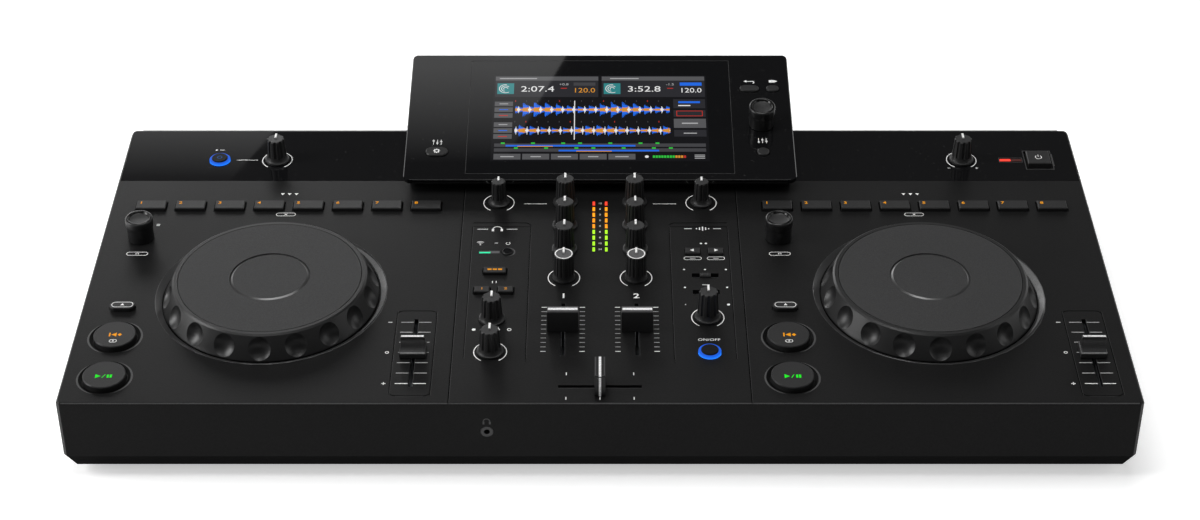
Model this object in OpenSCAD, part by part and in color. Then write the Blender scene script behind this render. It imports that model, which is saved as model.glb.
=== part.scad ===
// All-in-one player and mixer console: two jog decks beside a two channel mixer
// on one flat case, with a touch display raised behind the mixer.
// Plan places run from the middle of the case (x) and from its front edge (y).
// Heights run from the top face of the deck.

/* [Case] */
// Width of one player deck
deck_w = 234.3; // [230:0.1:260]
// Width of the mixer between the decks
mixer_w = 181.4; // [178:0.1:200]
// Depth of the case from the front edge to the back wall
case_d = 302; // [300:1:330]
// Height of the case without its feet
case_h = 52.5; // [48:0.5:70]
// Height of the tray that closes the case from below
tray_h = 11.5; // [9:0.5:16]
// Draw-in of the tray's sloping skirt
tray_inset = 5; // [3:0.5:8]
// Step between the case wall and the tray
tray_step = 1; // [0.5:0.1:2]
// Height of the tray's lip inside the case wall
tray_lip = 5; // [3:0.5:8]
// Thickness of the case walls and of the tray
wall = 2.5; // [2:0.1:3.5]
// Thickness of the deck
deck_t = 3; // [2.5:0.1:4]
// Radius of the case's rear corners
rear_r = 6; // [4:0.5:12]
// Chamfer of the case's front corners
front_cut = 2; // [1:0.1:4]
// Chamfer along the edges of the deck
edge_cut = 1; // [0.4:0.1:1.6]
// Height of the rubber feet
foot_h = 5; // [3:0.5:12]
// Diameter of the rubber feet
foot_d = 24; // [18:1:30]
// Distance of the feet from the case's edges
foot_in = 34; // [30:1:50]
// Depth of the gloss strip behind the decks
strip_d = 63.6; // [58:0.1:66]
// Thickness of the gloss strip
strip_t = 1.5; // [1:0.1:2]
// Width of the parting grooves in the deck
groove_w = 0.6; // [0.3:0.1:1]
// Depth of the parting grooves in the deck
groove_t = 0.5; // [0.2:0.1:1]

/* [Jog wheels] */
// Distance of the jog centres from the front edge
jog_y = 110.5; // [106:0.5:116]
// Diameter of the jog wheel at its foot
jog_d = 136; // [128:1:142]
// Diameter of the flat face inside the jog's rim
jog_face_d = 121.5; // [112:0.5:122]
// Width of the rim's flat lip around the top plate
jog_lip_w = 2.9; // [2:0.1:8]
// Thickness of the top plate
jog_plate_t = 2.5; // [2:0.1:4]
// Height of the jog face above the deck
jog_h = 13.3; // [10:0.1:16]
// Diameter of the ring pressed into the top plate
jog_mark_d = 50; // [30:1:80]
// Diameter of the dish around the jog
well_d = 146; // [144:1:148]
// Depth of the dish around the jog
well_t = 4; // [3:0.5:5]
// Number of finger scoops around the rim
scoop_n = 18; // [12:1:20]
// Diameter of a finger scoop
scoop_d = 14.8; // [8:0.1:15]
// Depth of a finger scoop
scoop_t = 2.5; // [1:0.1:2.8]
// Diameter of the fixed spindle
spindle_d = 12; // [8:0.5:16]

/* [Deck controls] */
// Distance of the control column from the deck's left edge
column_in = 25.6; // [24:0.1:27]
// Distance of the tempo slider from the deck's right edge
tempo_in = 23.6; // [22:0.1:25]
// Place of the tempo slider's middle
tempo_y = 49.5; // [46:0.5:54]
// Place of the loop encoder
loop_y = 171.5; // [168:0.5:176]
// Place of the shift key
shift_y = 95; // [92:0.5:100]
// Place of the cue button
cue_y = 64.7; // [62:0.1:66]
// Place of the play button
play_y = 24.6; // [22:0.1:28]
// Diameter of the cue and play buttons
transport_d = 26; // [20:0.5:28]
// Diameter of the dish around the cue and play buttons
transport_dish_d = 32; // [30:0.5:36]
// Width of the shift key
shift_w = 15.9; // [12:0.1:18]
// Depth of the shift key
shift_d = 7.7; // [6:0.1:9]
// Place of the hot cue keys
cue_row_y = 207.5; // [204:0.5:212]
// Shift of the hot cue keys from the jog's middle
cue_row_dx = 1.2; // [0:0.1:2]
// Number of hot cue keys in a row
cue_key_n = 8; // [4:1:8]
// Spacing of the hot cue keys
cue_key_pitch = 26.1; // [24:0.1:27]
// Width of a hot cue key
cue_key_w = 19.4; // [14:0.1:21]
// Depth of a hot cue key
cue_key_d = 9.4; // [7:0.1:11]
// Width of the tempo slider's panel
tempo_panel_w = 24.7; // [22:0.1:26]
// Length of the tempo slider's panel
tempo_panel_l = 84.9; // [80:0.1:90]

/* [Mixer controls] */
// Distance of the channel strips from the middle
channel_x = 23; // [21:0.5:25]
// Distance of the outer control columns from the middle
side_x = 67.3; // [65:0.1:69]
// Place of the upper row of knobs
eq_y = 212; // [210:0.5:214]
// Spacing of the equaliser knobs
eq_pitch = 27; // [25:0.5:28]
// Place of the filter knobs
filter_y = 127.2; // [122:0.1:130]
// Place of the channel faders' middle
fader_y = 73.1; // [70:0.1:76]
// Place of the crossfader
cross_y = 16; // [15:0.5:18]
// Place of the headphone mix knob
phones_mix_y = 83.2; // [78:0.1:86]
// Place of the headphone level knob
phones_level_y = 50; // [48:0.1:54]
// Place of the headphone cue keys
phones_key_y = 113; // [110:0.5:114]
// Place of the headphone master key
phones_master_y = 133.8; // [129:0.1:136]
// Place of the pairing key
pairing_y = 155.6; // [153:0.1:158]
// Half the spacing of a pair of small keys
pair_dx = 7.5; // [7:0.1:9]
// Width of a small key
small_key_w = 9.7; // [8:0.1:11]
// Depth of a small key
small_key_d = 6.2; // [5:0.1:7]
// Width of the headphone master key
master_key_w = 14.4; // [10:0.1:18]
// Diameter of the pairing key
pairing_d = 7; // [6:0.1:7.4]
// Place of the beat keys
beat_y = 155; // [150:0.5:156]
// Place of the effect selector
select_y = 129.7; // [127:0.1:132]
// Place of the effect channel switch
assign_y = 111.7; // [110:0.1:114]
// Place of the effect depth knob
depth_y = 85; // [82:0.5:88]
// Place of the effect on and off button
effect_y = 49.9; // [46:0.1:54]
// Diameter of the lit round buttons
lit_d = 14; // [12:0.1:15]
// Length of a slide switch window
switch_l = 17; // [15:0.5:19]
// Width of a slide switch window
switch_w = 4.6; // [4:0.1:6]
// Travel of a slide switch from end to end
switch_travel = 8; // [4:0.5:9]
// Spacing of the level meter's two columns
meter_dx = 8.2; // [7:0.1:12]
// Number of windows in a meter column
meter_n = 9; // [5:1:9]
// Spacing of the meter windows
meter_pitch = 6.6; // [6:0.1:7]
// Width of a meter window
meter_w = 1.7; // [1.5:0.1:3]
// Length of a meter window
meter_l = 4.4; // [3:0.1:5]

/* [Faders] */
// Travel of the channel faders and the crossfader
fader_travel = 45; // [35:1:46]
// Length of the channel fader slots
channel_slot_l = 53; // [51:0.5:56]
// Length of the crossfader slot
cross_slot_l = 50.4; // [50:0.1:56]
// Travel of the tempo sliders
tempo_travel = 60; // [50:1:62]
// Length of the tempo slider slots
tempo_slot_l = 67.6; // [67:0.1:72]
// Width of the fader slots
slot_w = 2.5; // [2.2:0.1:3]
// Length of a fader cap
cap_l = 19.4; // [15:0.1:20]
// Thickness of a fader cap
cap_t = 6.6; // [5:0.1:8]
// Height of a fader cap above the deck
cap_h = 15.6; // [10:0.1:18]
// Width of the tempo cap's foot
tempo_cap_w = 16.1; // [12:0.1:20]
// Depth of the tempo cap's foot
tempo_cap_d = 13; // [11:0.1:15]
// Height of the tempo cap's foot
tempo_foot_h = 4.3; // [3:0.1:6]
// Height of the tempo cap above the deck
tempo_cap_h = 12.6; // [9:0.1:15]

/* [Knobs] */
// Height of a level or trim knob above the deck
knob_h = 17.5; // [14:0.1:20]
// Height of an equaliser knob above the deck
eq_knob_h = 19.7; // [15:0.1:21]
// Height of a filter knob above the deck
filter_knob_h = 19; // [15:0.1:21]
// Height of the effect depth knob above the deck
depth_knob_h = 20.4; // [15:0.1:22]
// Diameter of a knob's foot
knob_foot_d = 16.4; // [15.5:0.1:17]
// Diameter of a trim knob's foot
trim_foot_d = 14.2; // [13:0.1:16]
// Diameter at the top of a level knob
level_top_d = 11.6; // [9:0.1:12]
// Diameter at the top of a trim knob
trim_top_d = 9.2; // [8:0.1:11]
// Diameter at the top of an equaliser knob
eq_top_d = 11.6; // [10:0.1:12]
// Diameter at the top of a filter knob
filter_top_d = 12.6; // [11:0.1:13]
// Diameter of a filter knob's foot
filter_foot_d = 14.4; // [14:0.1:16]
// Number of grip flutes on a level or trim knob
slim_flute_n = 10; // [8:1:14]
// Number of grip flutes on an equaliser or filter knob
flute_n = 16; // [10:1:18]
// Diameter of an encoder knob
encoder_d = 19; // [16:0.5:20]
// Height of an encoder knob
encoder_h = 16; // [12:0.5:18]
// Diameter of the control shafts
shaft_d = 6; // [5:0.1:6.4]

/* [Top strip] */
// Distance of the controls in the gloss strip from the back wall
strip_row_in = 38; // [34:0.5:40]
// Microphone button from the left deck's centre
mic_button_dx = -51.8; // [-70:0.1:-45]
// Microphone knob from the left deck's centre
mic_knob_dx = -12.6; // [-18:0.1:0]
// Master knob from the right deck's centre
master_knob_dx = 39; // [25:0.5:42]
// Power button from the right end of the case
power_in = 25.65; // [22:0.05:27]
// Power light from the power button
power_light_dx = 18.8; // [18:0.1:24]
// Side of the power button
power_key_w = 15.5; // [12:0.1:16]
// Width of the recess around the power button
power_recess_w = 18; // [17.5:0.1:20]
// Depth of the recess around the power button
power_recess_d = 22; // [20:0.5:24]

/* [Display] */
// Width of the display panel beside the glass
glass_side = 41.45; // [40:0.05:48]
// Width of the display panel in front of and behind the glass
glass_edge = 6.5; // [5:0.1:9]
// Place of the display's front edge
display_y = 224.1; // [223:0.1:232]
// Height of the display's front edge above the deck
display_lift = 10.3; // [9.8:0.1:16]
// Tilt of the display panel
display_tilt = 8.1; // [6:0.1:12]
// Thickness of the display bezel
bezel_t = 3; // [2.5:0.1:4]
// Radius of the display's corners
display_r = 5; // [3:0.5:10]
// Draw-in of the display housing under the bezel's front and rear edges
housing_in = 6; // [4:0.5:8]
// Draw-in of the display housing under the bezel's sides
housing_side = 3.5; // [2:0.1:3.8]
// Depth of the display housing at its rear edge
housing_rear = 13; // [12:0.5:18]
// Distance of the pedestal from the back wall
pedestal_in = 4; // [2:0.5:10]
// Height of the overhang above the deck at the back wall
overhang_h = 6; // [4:0.5:8]
// Width of the touch screen's glass
glass_w = 180.6; // [160:0.1:184]
// Length of the touch screen's glass
glass_l = 119.4; // [110:0.1:122]
// Thickness of the touch screen's glass
glass_t = 1.2; // [0.8:0.1:1.6]
// Width of the rim that carries the glass
glass_rim = 4; // [3:0.5:6]
// Display keys and browse encoder from the edge of the glass
panel_key_dx = 20.1; // [18:0.1:22]
// Place of the settings keys along the panel
settings_s = 28.2; // [24:0.1:32]
// Place of the browse encoder along the panel
browse_s = 57.5; // [54:0.5:62]
// Place of the back and tag keys along the panel
back_s = 94.8; // [90:0.1:100]
// Back key from the edge of the glass
back_dx = 13.5; // [12.5:0.1:14.5]
// Tag key from the edge of the glass
tag_dx = 29.6; // [28.5:0.1:30.5]

/* [Back wall] */
// Microphone socket from the left deck's centre
mic_socket_dx = -24.15; // [-60:0.05:0]
// First output socket from the left deck's centre
output_dx = 41.85; // [30:0.05:60]
// Spacing of the output socket pair
output_pitch = 16; // [14:0.5:24]
// Storage socket from the right deck's centre
storage_dx = -47.85; // [-60:0.05:-40]
// Computer socket from the right deck's centre
computer_dx = -11.85; // [-18:0.05:6]
// Mains inlet from the right deck's centre
mains_dx = 60.15; // [40:0.05:76]
// Bore of the microphone socket
mic_bore = 6.6; // [6.4:0.05:7]
// Bore of the headphone socket in the front wall
phones_bore = 3.6; // [3.55:0.05:4]
// Headphone socket from the middle
phones_socket_x = -68; // [-80:1:-50]

/* [Fits] */
// Gap around a key in its hole
key_gap = 0.4; // [0.3:0.05:0.6]
// Gap of a part that rests close to its seat
seat_gap = 0.4; // [0.3:0.05:0.5]
// Gap of parts that are set into each other
set_gap = 0.2; // [0.1:0.05:0.3]
// Running gap of a shaft in its bush
bush_gap = 0.35; // [0.3:0.05:0.5]
// Running gap of the jog on its spindle
jog_gap = 0.05; // [0.03:0.01:0.1]
// Travel of the keys and buttons
key_travel = 0.8; // [0.4:0.1:1]
// Thickness of the flange that holds a key in
flange_t = 1.2; // [0.8:0.1:1.6]
// Width of the flange that holds a key in
flange_w = 1.2; // [0.8:0.1:1.4]

/* [Inside] */
// Drop of the control boards below the deck
board_drop = 16; // [15:0.5:20]
// Thickness of the circuit boards
board_t = 1.6; // [1:0.1:2]
// Drop of the display board below the bezel's face
panel_board_drop = 9; // [8.5:0.1:9.5]
// Height of the switches on the control boards
switch_h = 4.5; // [3:0.1:6]
// Height of the switches on the display board
panel_switch_h = 2.6; // [2:0.1:3]
// Diameter of the posts that carry the boards
post_d = 7; // [5:0.5:8]
// Diameter of the case screws
screw_d = 3; // [2.5:0.1:4]

/* [Hidden] */
$fn = 64;

case_w = 2 * deck_w + mixer_w;
deck_cx = (mixer_w + deck_w) / 2;
deck_z = foot_h + case_h;
tray_top = foot_h + tray_h;
seam_x = mixer_w / 2;

// The places above are given for a deck and a case of this size, and follow them as they change
plan_deck_w = 234.3;
plan_d = 302;
wheel_fit = min(deck_w / plan_deck_w, case_d / plan_d);
function across(x) = x * deck_w / plan_deck_w;
function along(y) = y * case_d / plan_d;
function wheel(d) = d * wheel_fit;
column_dx = across(column_in) - deck_w / 2;
tempo_dx = deck_w / 2 - across(tempo_in);
strip_row_y = case_d - strip_row_in;
display_front = along(display_y);
display_w = glass_w + 2 * glass_side;
display_l = glass_l + 2 * glass_edge;
overall_d = display_front + display_l * cos(display_tilt) + bezel_t * sin(display_tilt);
strip_y = case_d - strip_d;
strip_margin = 0.4;
over = 1;

// Jog wheel
well_floor_t = 2.5;
well_gap = 0.9;
well_slope_t = 0.6 * well_t;
spindle_shoulder = 5;
hub_wall = 4;
jog_plate_d = jog_face_d - 2 * jog_lip_w;
jog_float = 1.5;
jog_foot_z = jog_float - well_t;
jog_web_t = 2.5;
jog_web_z = jog_h - jog_plate_t - jog_web_t;
hub_z = -well_t + 2;
jog_lip = 0.9;
jog_edge = 0.8;
jog_foot_w = 4;
mark_w = 1.8;
mark_wall = 0.2;
mark_t = 0.9;

// Keys
key_cut = 0.5;
cue_key_h = 2.2;
shift_h = 2.7;
transport_h = 2.6;
dish_t = 1.5;
dish_ledge = 0.5;
small_key_h = 2;
pairing_h = 1;
lit_h = 2.4;
lit_ring_w = 1.6;
lit_ring_drop = 0.9;
power_h = 2.6;
recess_r = 2;
panel_key_h = 1.2;
stem_d = 4;
stem_gap = 0.4;
flange_z = -deck_t - seat_gap;
stem_z = switch_h - board_drop + key_travel + stem_gap;
panel_flange_z = -bezel_t - seat_gap;
panel_stem_z = panel_switch_h - panel_board_drop + key_travel + stem_gap;
settings_w = 14.8;
settings_d = 9;
back_w = 13.2;
tag_w = 8.5;
panel_key_d = 6.6;
deck_set_d = 8;

// Faders
lever_w = 3;
lever_t = slot_w - 2 * key_gap;
lever_z = -13;
fader_body_w = 10;
fader_body_top = -deck_t - over;
fader_end = 8;
switch_knob_w = 7;
switch_knob_h = 1;
switch_body_top = -deck_t;
switch_wall = 1;
switch_lever_z = -8;

// Knobs, potentiometers and encoders
knob_lift = seat_gap;
knob_skirt_t = 1.2;
knob_flare_h = 4;
knob_top_cut = 0.6;
flute_share = 0.6;
flute_sink = 0.5;
deep_flute = 0.8;
pointer_w = 1.3;
pointer_h = 0.7;
pointer_in = 0.3;
level_lean = 1.6;
trim_lean = 0.8;
eq_lean = 1.4;
filter_lean = 0.8;
shaft_hole_d = shaft_d + 2;
pot_w = 11;
pot_top = -9.5;
bush_d = shaft_d + 3;
bush_top = -deck_t - over;
shaft_z = -12.5;
bore_z = shaft_z - 1;
panel_pot_top = -4.6;
panel_shaft_z = -7.6;
panel_bore_z = -8.2;

// Places of the controls
function deck_places(dx, y) = [[-deck_cx + dx, y], [deck_cx + dx, y]];
function cue_key_places(side) = [for (i = [0 : cue_key_n - 1])
  [side * deck_cx + across(cue_row_dx) + (i - (cue_key_n - 1) / 2) * across(cue_key_pitch),
    along(cue_row_y)]];
eq_rows = [for (i = [0 : 2]) along(eq_y - i * eq_pitch)];
jog_at = deck_places(0, along(jog_y));
cross_at = [0, along(cross_y)];
phones_master_at = [-side_x, along(phones_master_y)];
mic_knob_at = [-deck_cx + across(mic_knob_dx), strip_row_y];
master_knob_at = [deck_cx + across(master_knob_dx), strip_row_y];
mic_button_at = [-deck_cx + across(mic_button_dx), strip_row_y];
power_at = [case_w / 2 - power_in, strip_row_y];
power_light_at = [power_at[0] - power_light_dx, strip_row_y];
effect_button_at = [side_x, along(effect_y)];
pairing_at = [-side_x + pair_dx, along(pairing_y)];
pairing_light_dx = 4.3;
pairing_light_at = [-side_x - pairing_light_dx, along(pairing_y)];
strip_knobs = [mic_knob_at, master_knob_at];
mixer_knobs = concat([for (s = [-1, 1]) [s * side_x, eq_rows[0]]],
  [for (s = [-1, 1], y = eq_rows) [s * channel_x, y]],
  [for (s = [-1, 1]) [s * channel_x, along(filter_y)]],
  [[-side_x, along(phones_mix_y)], [-side_x, along(phones_level_y)], [side_x, along(depth_y)]]);
loop_encoders = deck_places(column_dx, along(loop_y));
phones_keys = [[-side_x - pair_dx, along(phones_key_y)], [-side_x + pair_dx, along(phones_key_y)]];
beat_keys_at = [[side_x - pair_dx, along(beat_y)], [side_x + pair_dx, along(beat_y)]];
transport_at = concat(deck_places(column_dx, along(cue_y)), deck_places(column_dx, along(play_y)));
shift_at = deck_places(column_dx, along(shift_y));
lit_at = [mic_button_at, effect_button_at];
switches_at = [[side_x, along(select_y)], [side_x, along(assign_y)]];
tempo_at = deck_places(tempo_dx, along(tempo_y));
channel_at = [[-channel_x, along(fader_y)], [channel_x, along(fader_y)]];
meter_y = eq_rows[1];
light_w = 2.6;
pairing_light_l = 13.1;
power_light_l = 14.7;
lens_rim = 1;
lens_t = 1.5;

// Board posts on each deck and on the mixer, and screw bosses near the walls
deck_post_plan = [[-60, 14], [60, 14], [-94, 133], [95, 150], [-40, 226], [60, 226], [-94, 286]];
deck_posts = [for (p = deck_post_plan) [across(p[0]), along(p[1])]];
mixer_post_plan = [[-44, 34], [44, 34], [0, 130], [-44, 168], [44, 168], [-50, 250], [50, 250]];
mixer_posts = [for (p = mixer_post_plan) [p[0], along(p[1])]];
board_in = 16.2;
board_gap = 6;
boss_in = 11.5;
boss_d = 8;
boss_end = 40;
head_d = 5.6;
head_t = 1.2;
screw_l = 12;
drive_l = 3.2;
drive_w = 0.7;
boss_places = [for (x = [-case_w / 2 + boss_in, case_w / 2 - boss_in],
  y = [boss_end, case_d / 2, case_d - boss_end]) [x, y]];
foot_places = [for (x = [-case_w / 2 + foot_in, 0, case_w / 2 - foot_in],
  y = [foot_in, case_d - foot_in]) [x, y]];

// Main board on the tray
main_w = 260;
main_d = along(150);
main_y = along(130);
main_lift = 8;
main_post_x = main_w / 2 - 8;
main_post_y = main_d / 2 - 8;
lip_open = 20;

// Display
lcd_t = 5;
glass_r = 3;
panel_key_x = glass_w / 2 + panel_key_dx;
back_x = glass_w / 2 + back_dx;
tag_x = glass_w / 2 + tag_dx;
panel_post_in = 6;
panel_post_dx = 5;
panel_board_w = display_w - 2 * housing_side - 2 * wall - 2;
panel_board_s = housing_in + wall + 14;
panel_board_l = display_l - panel_board_s - housing_in - wall - 6;
pedestal_y = case_d - pedestal_in;
function panel_y(s, n) = display_front + s * cos(display_tilt) - n * sin(display_tilt);
function panel_h(s, n) = display_lift + s * sin(display_tilt) + n * cos(display_tilt);

// Sockets, which clear the boards above them
mic_socket_x = mic_socket_dx - deck_cx;
output_x = output_dx - deck_cx;
storage_x = deck_cx + storage_dx;
computer_x = deck_cx + computer_dx;
mains_x = deck_cx + mains_dx;
mic_sleeve_d = 12;
mic_sleeve_out = 2.5;
mic_body = 17;
mic_l = 32;
mic_end = 2;
rca_d = 8.3;
rca_l = 9;
rca_bore = 3.4;
rca_plate = 13;
rca_body_l = 10;
usb_wall = 0.8;
usb_a = [12.5, 5.2];
usb_b = [8.5, 7.8];
usb_a_tongue = [11.3, 1.9];
usb_b_tongue = [5.6, 3.2];
usb_l = 16;
usb_tongue_in = 2.2;
mains_w = 17.2;
mains_h = 9.6;
mains_rim = 2;
mains_l = 22;
mains_t = 15;
pin_d = 2.4;
pin_pitch = 8.6;
pin_l = 9;
socket_rim = 2;
socket_rim_t = 1.5;
jack_d = 7.6;
jack_l = 15;
jack_body = 8;
socket_z = -board_drop - board_t - seat_gap - max(mic_body / 2, mains_h / 2 + mains_rim + socket_rim);
phones_socket_z = -board_drop - board_t - seat_gap - jack_body / 2;

module on_deck(at, z = 0) { translate([at[0], at[1] - overall_d / 2, deck_z + z]) children(); }
module on_panel(x, s, n = 0) {
  translate([0, display_front - overall_d / 2, deck_z + display_lift])
    rotate([display_tilt, 0, 0]) translate([x, s, n]) children();
}

// Outlines
module rounded(w, d, r) {
  square([w - 2 * r, d], center = true);
  square([w, d - 2 * r], center = true);
  for (x = [-1, 1], y = [-1, 1]) translate([x * (w / 2 - r), y * (d / 2 - r)]) circle(r);
}
module pill(w, d) {
  square([w - d, d], center = true);
  for (x = [-1, 1]) translate([x * (w - d) / 2, 0]) circle(d / 2);
}
module case_outline(inset) {
  w = case_w / 2 - inset;
  r = max(rear_r - inset, 0.5);
  c = max(front_cut - inset * (2 - sqrt(2)), 0.2);
  back = case_d - inset;
  polygon([[c - w, inset], [w - c, inset], [w, inset + c], [w, back - r], [-w, back - r],
    [-w, inset + c]]);
  translate([r - w, back - r - over]) square([2 * (w - r), r + over]);
  for (x = [-1, 1]) translate([x * (w - r), back - r]) circle(r);
}
module cut_corners(w, h, c) {
  polygon([[-w / 2, 0], [w / 2, 0], [w / 2, h - c], [w / 2 - c, h], [c - w / 2, h], [-w / 2, h - c]]);
}

// Key caps with a chamfered top edge, standing on z = 0
module round_cap(d, h) {
  rotate_extrude()
    polygon([[0, 0], [d / 2, 0], [d / 2, h - key_cut], [d / 2 - key_cut, h], [0, h]]);
}
module box_cap(w, d, h) {
  intersection() {
    rotate([90, 0, 0]) linear_extrude(d, center = true) cut_corners(w, h, key_cut);
    rotate([90, 0, 90]) linear_extrude(w, center = true) cut_corners(d, h, key_cut);
  }
}
module pill_cap(w, d, h) {
  for (x = [-1, 1]) translate([x * (w - d) / 2, 0, 0]) round_cap(d, h);
  rotate([90, 0, 90]) linear_extrude(w - d, center = true) cut_corners(d, h, key_cut);
}

// Flange and stem under a key; the child is the flange's outline
module key_foot(top, bottom) {
  translate([0, 0, top - flange_t]) linear_extrude(flange_t) children();
  translate([0, 0, bottom]) cylinder(d = stem_d, h = top - bottom - flange_t / 2);
}

module round_key(d, h, top = flange_z, bottom = stem_z) {
  translate([0, 0, top]) round_cap(d, h - top);
  key_foot(top, bottom) circle(d / 2 + flange_w);
}
module box_key(w, d, h, top = flange_z, bottom = stem_z) {
  translate([0, 0, top]) box_cap(w, d, h - top);
  key_foot(top, bottom) square([w + 2 * flange_w, d + 2 * flange_w], center = true);
}
module pill_key(w, d, h, top = flange_z, bottom = stem_z) {
  translate([0, 0, top]) pill_cap(w, d, h - top);
  key_foot(top, bottom) pill(w + 2 * flange_w, d + 2 * flange_w);
}

// Dark cap that stands in a lower, clear light ring
module lit_button() {
  translate([0, 0, flange_z]) {
    round_cap(lit_d - 2 * lit_ring_w, lit_h - flange_z);
    round_cap(lit_d, lit_h - lit_ring_drop - flange_z);
  }
  key_foot(flange_z, stem_z) circle(lit_d / 2 + flange_w);
}

// Fluted knob with a flared foot, a raised pointer and its shaft
module knob(tall, foot_d, base_d, top_d, flutes, sink) {
  h = tall - knob_lift;
  column_z = knob_skirt_t + knob_flare_h;
  flute_d = flute_share * PI * base_d / flutes;
  lean = atan((base_d - top_d) / 2 / (h - column_z));
  flare = [for (a = [0 : 15 : 90]) [foot_d / 2 - (foot_d - base_d) / 2 * sin(a),
    knob_skirt_t + knob_flare_h * (1 - cos(a))]];
  translate([0, 0, knob_lift]) {
    difference() {
      rotate_extrude() polygon(concat([[0, 0], [foot_d / 2, 0]], flare,
        [[top_d / 2, h - knob_top_cut], [top_d / 2 - knob_top_cut, h], [0, h]]));
      for (i = [0 : flutes - 1]) rotate(360 / flutes * (i + 0.5))
        translate([base_d / 2 + flute_d / 2 - sink, 0, column_z - knob_flare_h / 4])
          rotate([0, -lean, 0]) cylinder(d = flute_d, h = h, $fn = 24);
    }
    translate([-pointer_w / 2, pointer_in, h - over])
      cube([pointer_w, top_d / 2 - pointer_in - knob_top_cut / 2, pointer_h + over]);
  }
  translate([0, 0, shaft_z]) cylinder(d = shaft_d, h = knob_lift + over - shaft_z);
}
module level_knob(tall = knob_h) {
  knob(tall, knob_foot_d, level_top_d + level_lean, level_top_d, slim_flute_n, deep_flute);
}
module thin_knob() { knob(knob_h, trim_foot_d, trim_top_d + trim_lean, trim_top_d, slim_flute_n, flute_sink); }
module eq_knob() { knob(eq_knob_h, knob_foot_d, eq_top_d + eq_lean, eq_top_d, flute_n, flute_sink); }
module filter_knob() {
  knob(filter_knob_h, filter_foot_d, filter_top_d + filter_lean, filter_top_d, flute_n, flute_sink);
}

// Encoder knob with a waist, a raised rim and a dished top
module encoder_knob(shaft_end) {
  r = encoder_d / 2;
  h = encoder_h;
  waist = 0.5;
  waist_top = 0.55 * h;
  head_z = 0.65 * h;
  edge = 0.8;
  rim = 1.9;
  dish = 1.4;
  dish_run = 0.9;
  translate([0, 0, knob_lift]) rotate_extrude() polygon([[0, 0], [r - waist, 0],
    [r - waist, waist_top], [r, head_z], [r, h - edge], [r - edge, h], [r - rim, h],
    [r - rim - dish_run, h - dish], [0, h - dish]]);
  translate([0, 0, shaft_end]) cylinder(d = shaft_d, h = knob_lift + over - shaft_end);
}

// Straight fader cap with its lever; the travel runs along y
module fader_cap() {
  translate([0, 0, seat_gap]) intersection() {
    rotate([90, 0, 0]) linear_extrude(cap_t, center = true)
      cut_corners(cap_l, cap_h - seat_gap, key_cut);
    rotate([90, 0, 90]) linear_extrude(cap_l, center = true)
      cut_corners(cap_t, cap_h - seat_gap, key_cut);
  }
  fader_lever();
}
module fader_lever() {
  translate([-lever_t / 2, -lever_w / 2, lever_z])
    cube([lever_t, lever_w, seat_gap + over - lever_z]);
}
// Tempo cap: a low foot with a narrow ridge between two hollow slopes
module tempo_cap() {
  ledge_x = 0.7;
  lip = 1.2;
  step = 0.3;
  ridge_t = 2.6;
  hollow_r = 9;
  half_d = tempo_cap_d / 2 - lip;
  run = half_d - ridge_t / 2;
  rise = tempo_cap_h - tempo_foot_h - step;
  half = sqrt(run * run + rise * rise) / 2;
  reach = sqrt(hollow_r * hollow_r - half * half);
  hollow_y = (half_d + ridge_t / 2 + reach * rise / half) / 2;
  hollow_z = (tempo_cap_h + tempo_foot_h + step + reach * run / half) / 2;
  translate([0, 0, seat_gap]) box_cap(tempo_cap_w, tempo_cap_d, tempo_foot_h - seat_gap);
  difference() {
    translate([0, 0, tempo_foot_h - over])
      box_cap(tempo_cap_w - 2 * ledge_x, 2 * half_d, tempo_cap_h - tempo_foot_h + over);
    for (y = [-1, 1]) translate([0, y * hollow_y, hollow_z])
      rotate([0, 90, 0]) cylinder(r = hollow_r, h = tempo_cap_w, center = true);
  }
  fader_lever();
}
// Slide switch knob; the travel runs along x
module switch_knob() {
  w = switch_w - 2 * key_gap;
  rib_pitch = 1.6;
  rib_d = 1.5;
  rib_sink = 0.5;
  translate([0, 0, -deck_t + seat_gap]) box_cap(switch_knob_w, w, switch_knob_h + deck_t - seat_gap);
  for (i = [-1, 0, 1]) translate([i * rib_pitch, 0, switch_knob_h - rib_sink])
    rotate([90, 0, 0]) cylinder(d = rib_d, h = w - 2 * key_cut, center = true, $fn = 24);
  translate([-lever_w / 2, -lever_t / 2, switch_lever_z])
    cube([lever_w, lever_t, over - deck_t + seat_gap - switch_lever_z]);
}

// Sockets and bodies under the deck
module pot(top, bottom, bush_end, bore_end) {
  difference() {
    union() {
      translate([-pot_w / 2, -pot_w / 2, bottom]) cube([pot_w, pot_w, top - bottom]);
      translate([0, 0, top - over]) cylinder(d = bush_d, h = bush_end - top + over);
    }
    translate([0, 0, bore_end]) cylinder(d = shaft_d + 2 * bush_gap, h = bush_end - bore_end + over);
  }
}
module fader_body(slot_l) {
  l = slot_l + fader_end;
  difference() {
    translate([-fader_body_w / 2, -l / 2, -board_drop])
      cube([fader_body_w, l, board_drop + fader_body_top]);
    translate([-slot_w / 2, -slot_l / 2, lever_z - over])
      cube([slot_w, slot_l, fader_body_top - lever_z + 2 * over]);
  }
}
module switch_body() {
  difference() {
    translate([-switch_l / 2 - switch_wall, -switch_w / 2 - switch_wall, -board_drop])
      cube([switch_l + 2 * switch_wall, switch_w + 2 * switch_wall, board_drop + switch_body_top]);
    translate([-switch_l / 2, -slot_w / 2, switch_lever_z - over])
      cube([switch_l, slot_w, switch_body_top - switch_lever_z + 2 * over]);
  }
}
module tact_switch(h) {
  body_w = 6;
  button_d = 3.4;
  button_t = 0.8;
  translate([-body_w / 2, -body_w / 2, 0]) cube([body_w, body_w, h - button_t]);
  translate([0, 0, h - 2 * button_t]) cylinder(d = button_d, h = 2 * button_t);
}

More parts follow.
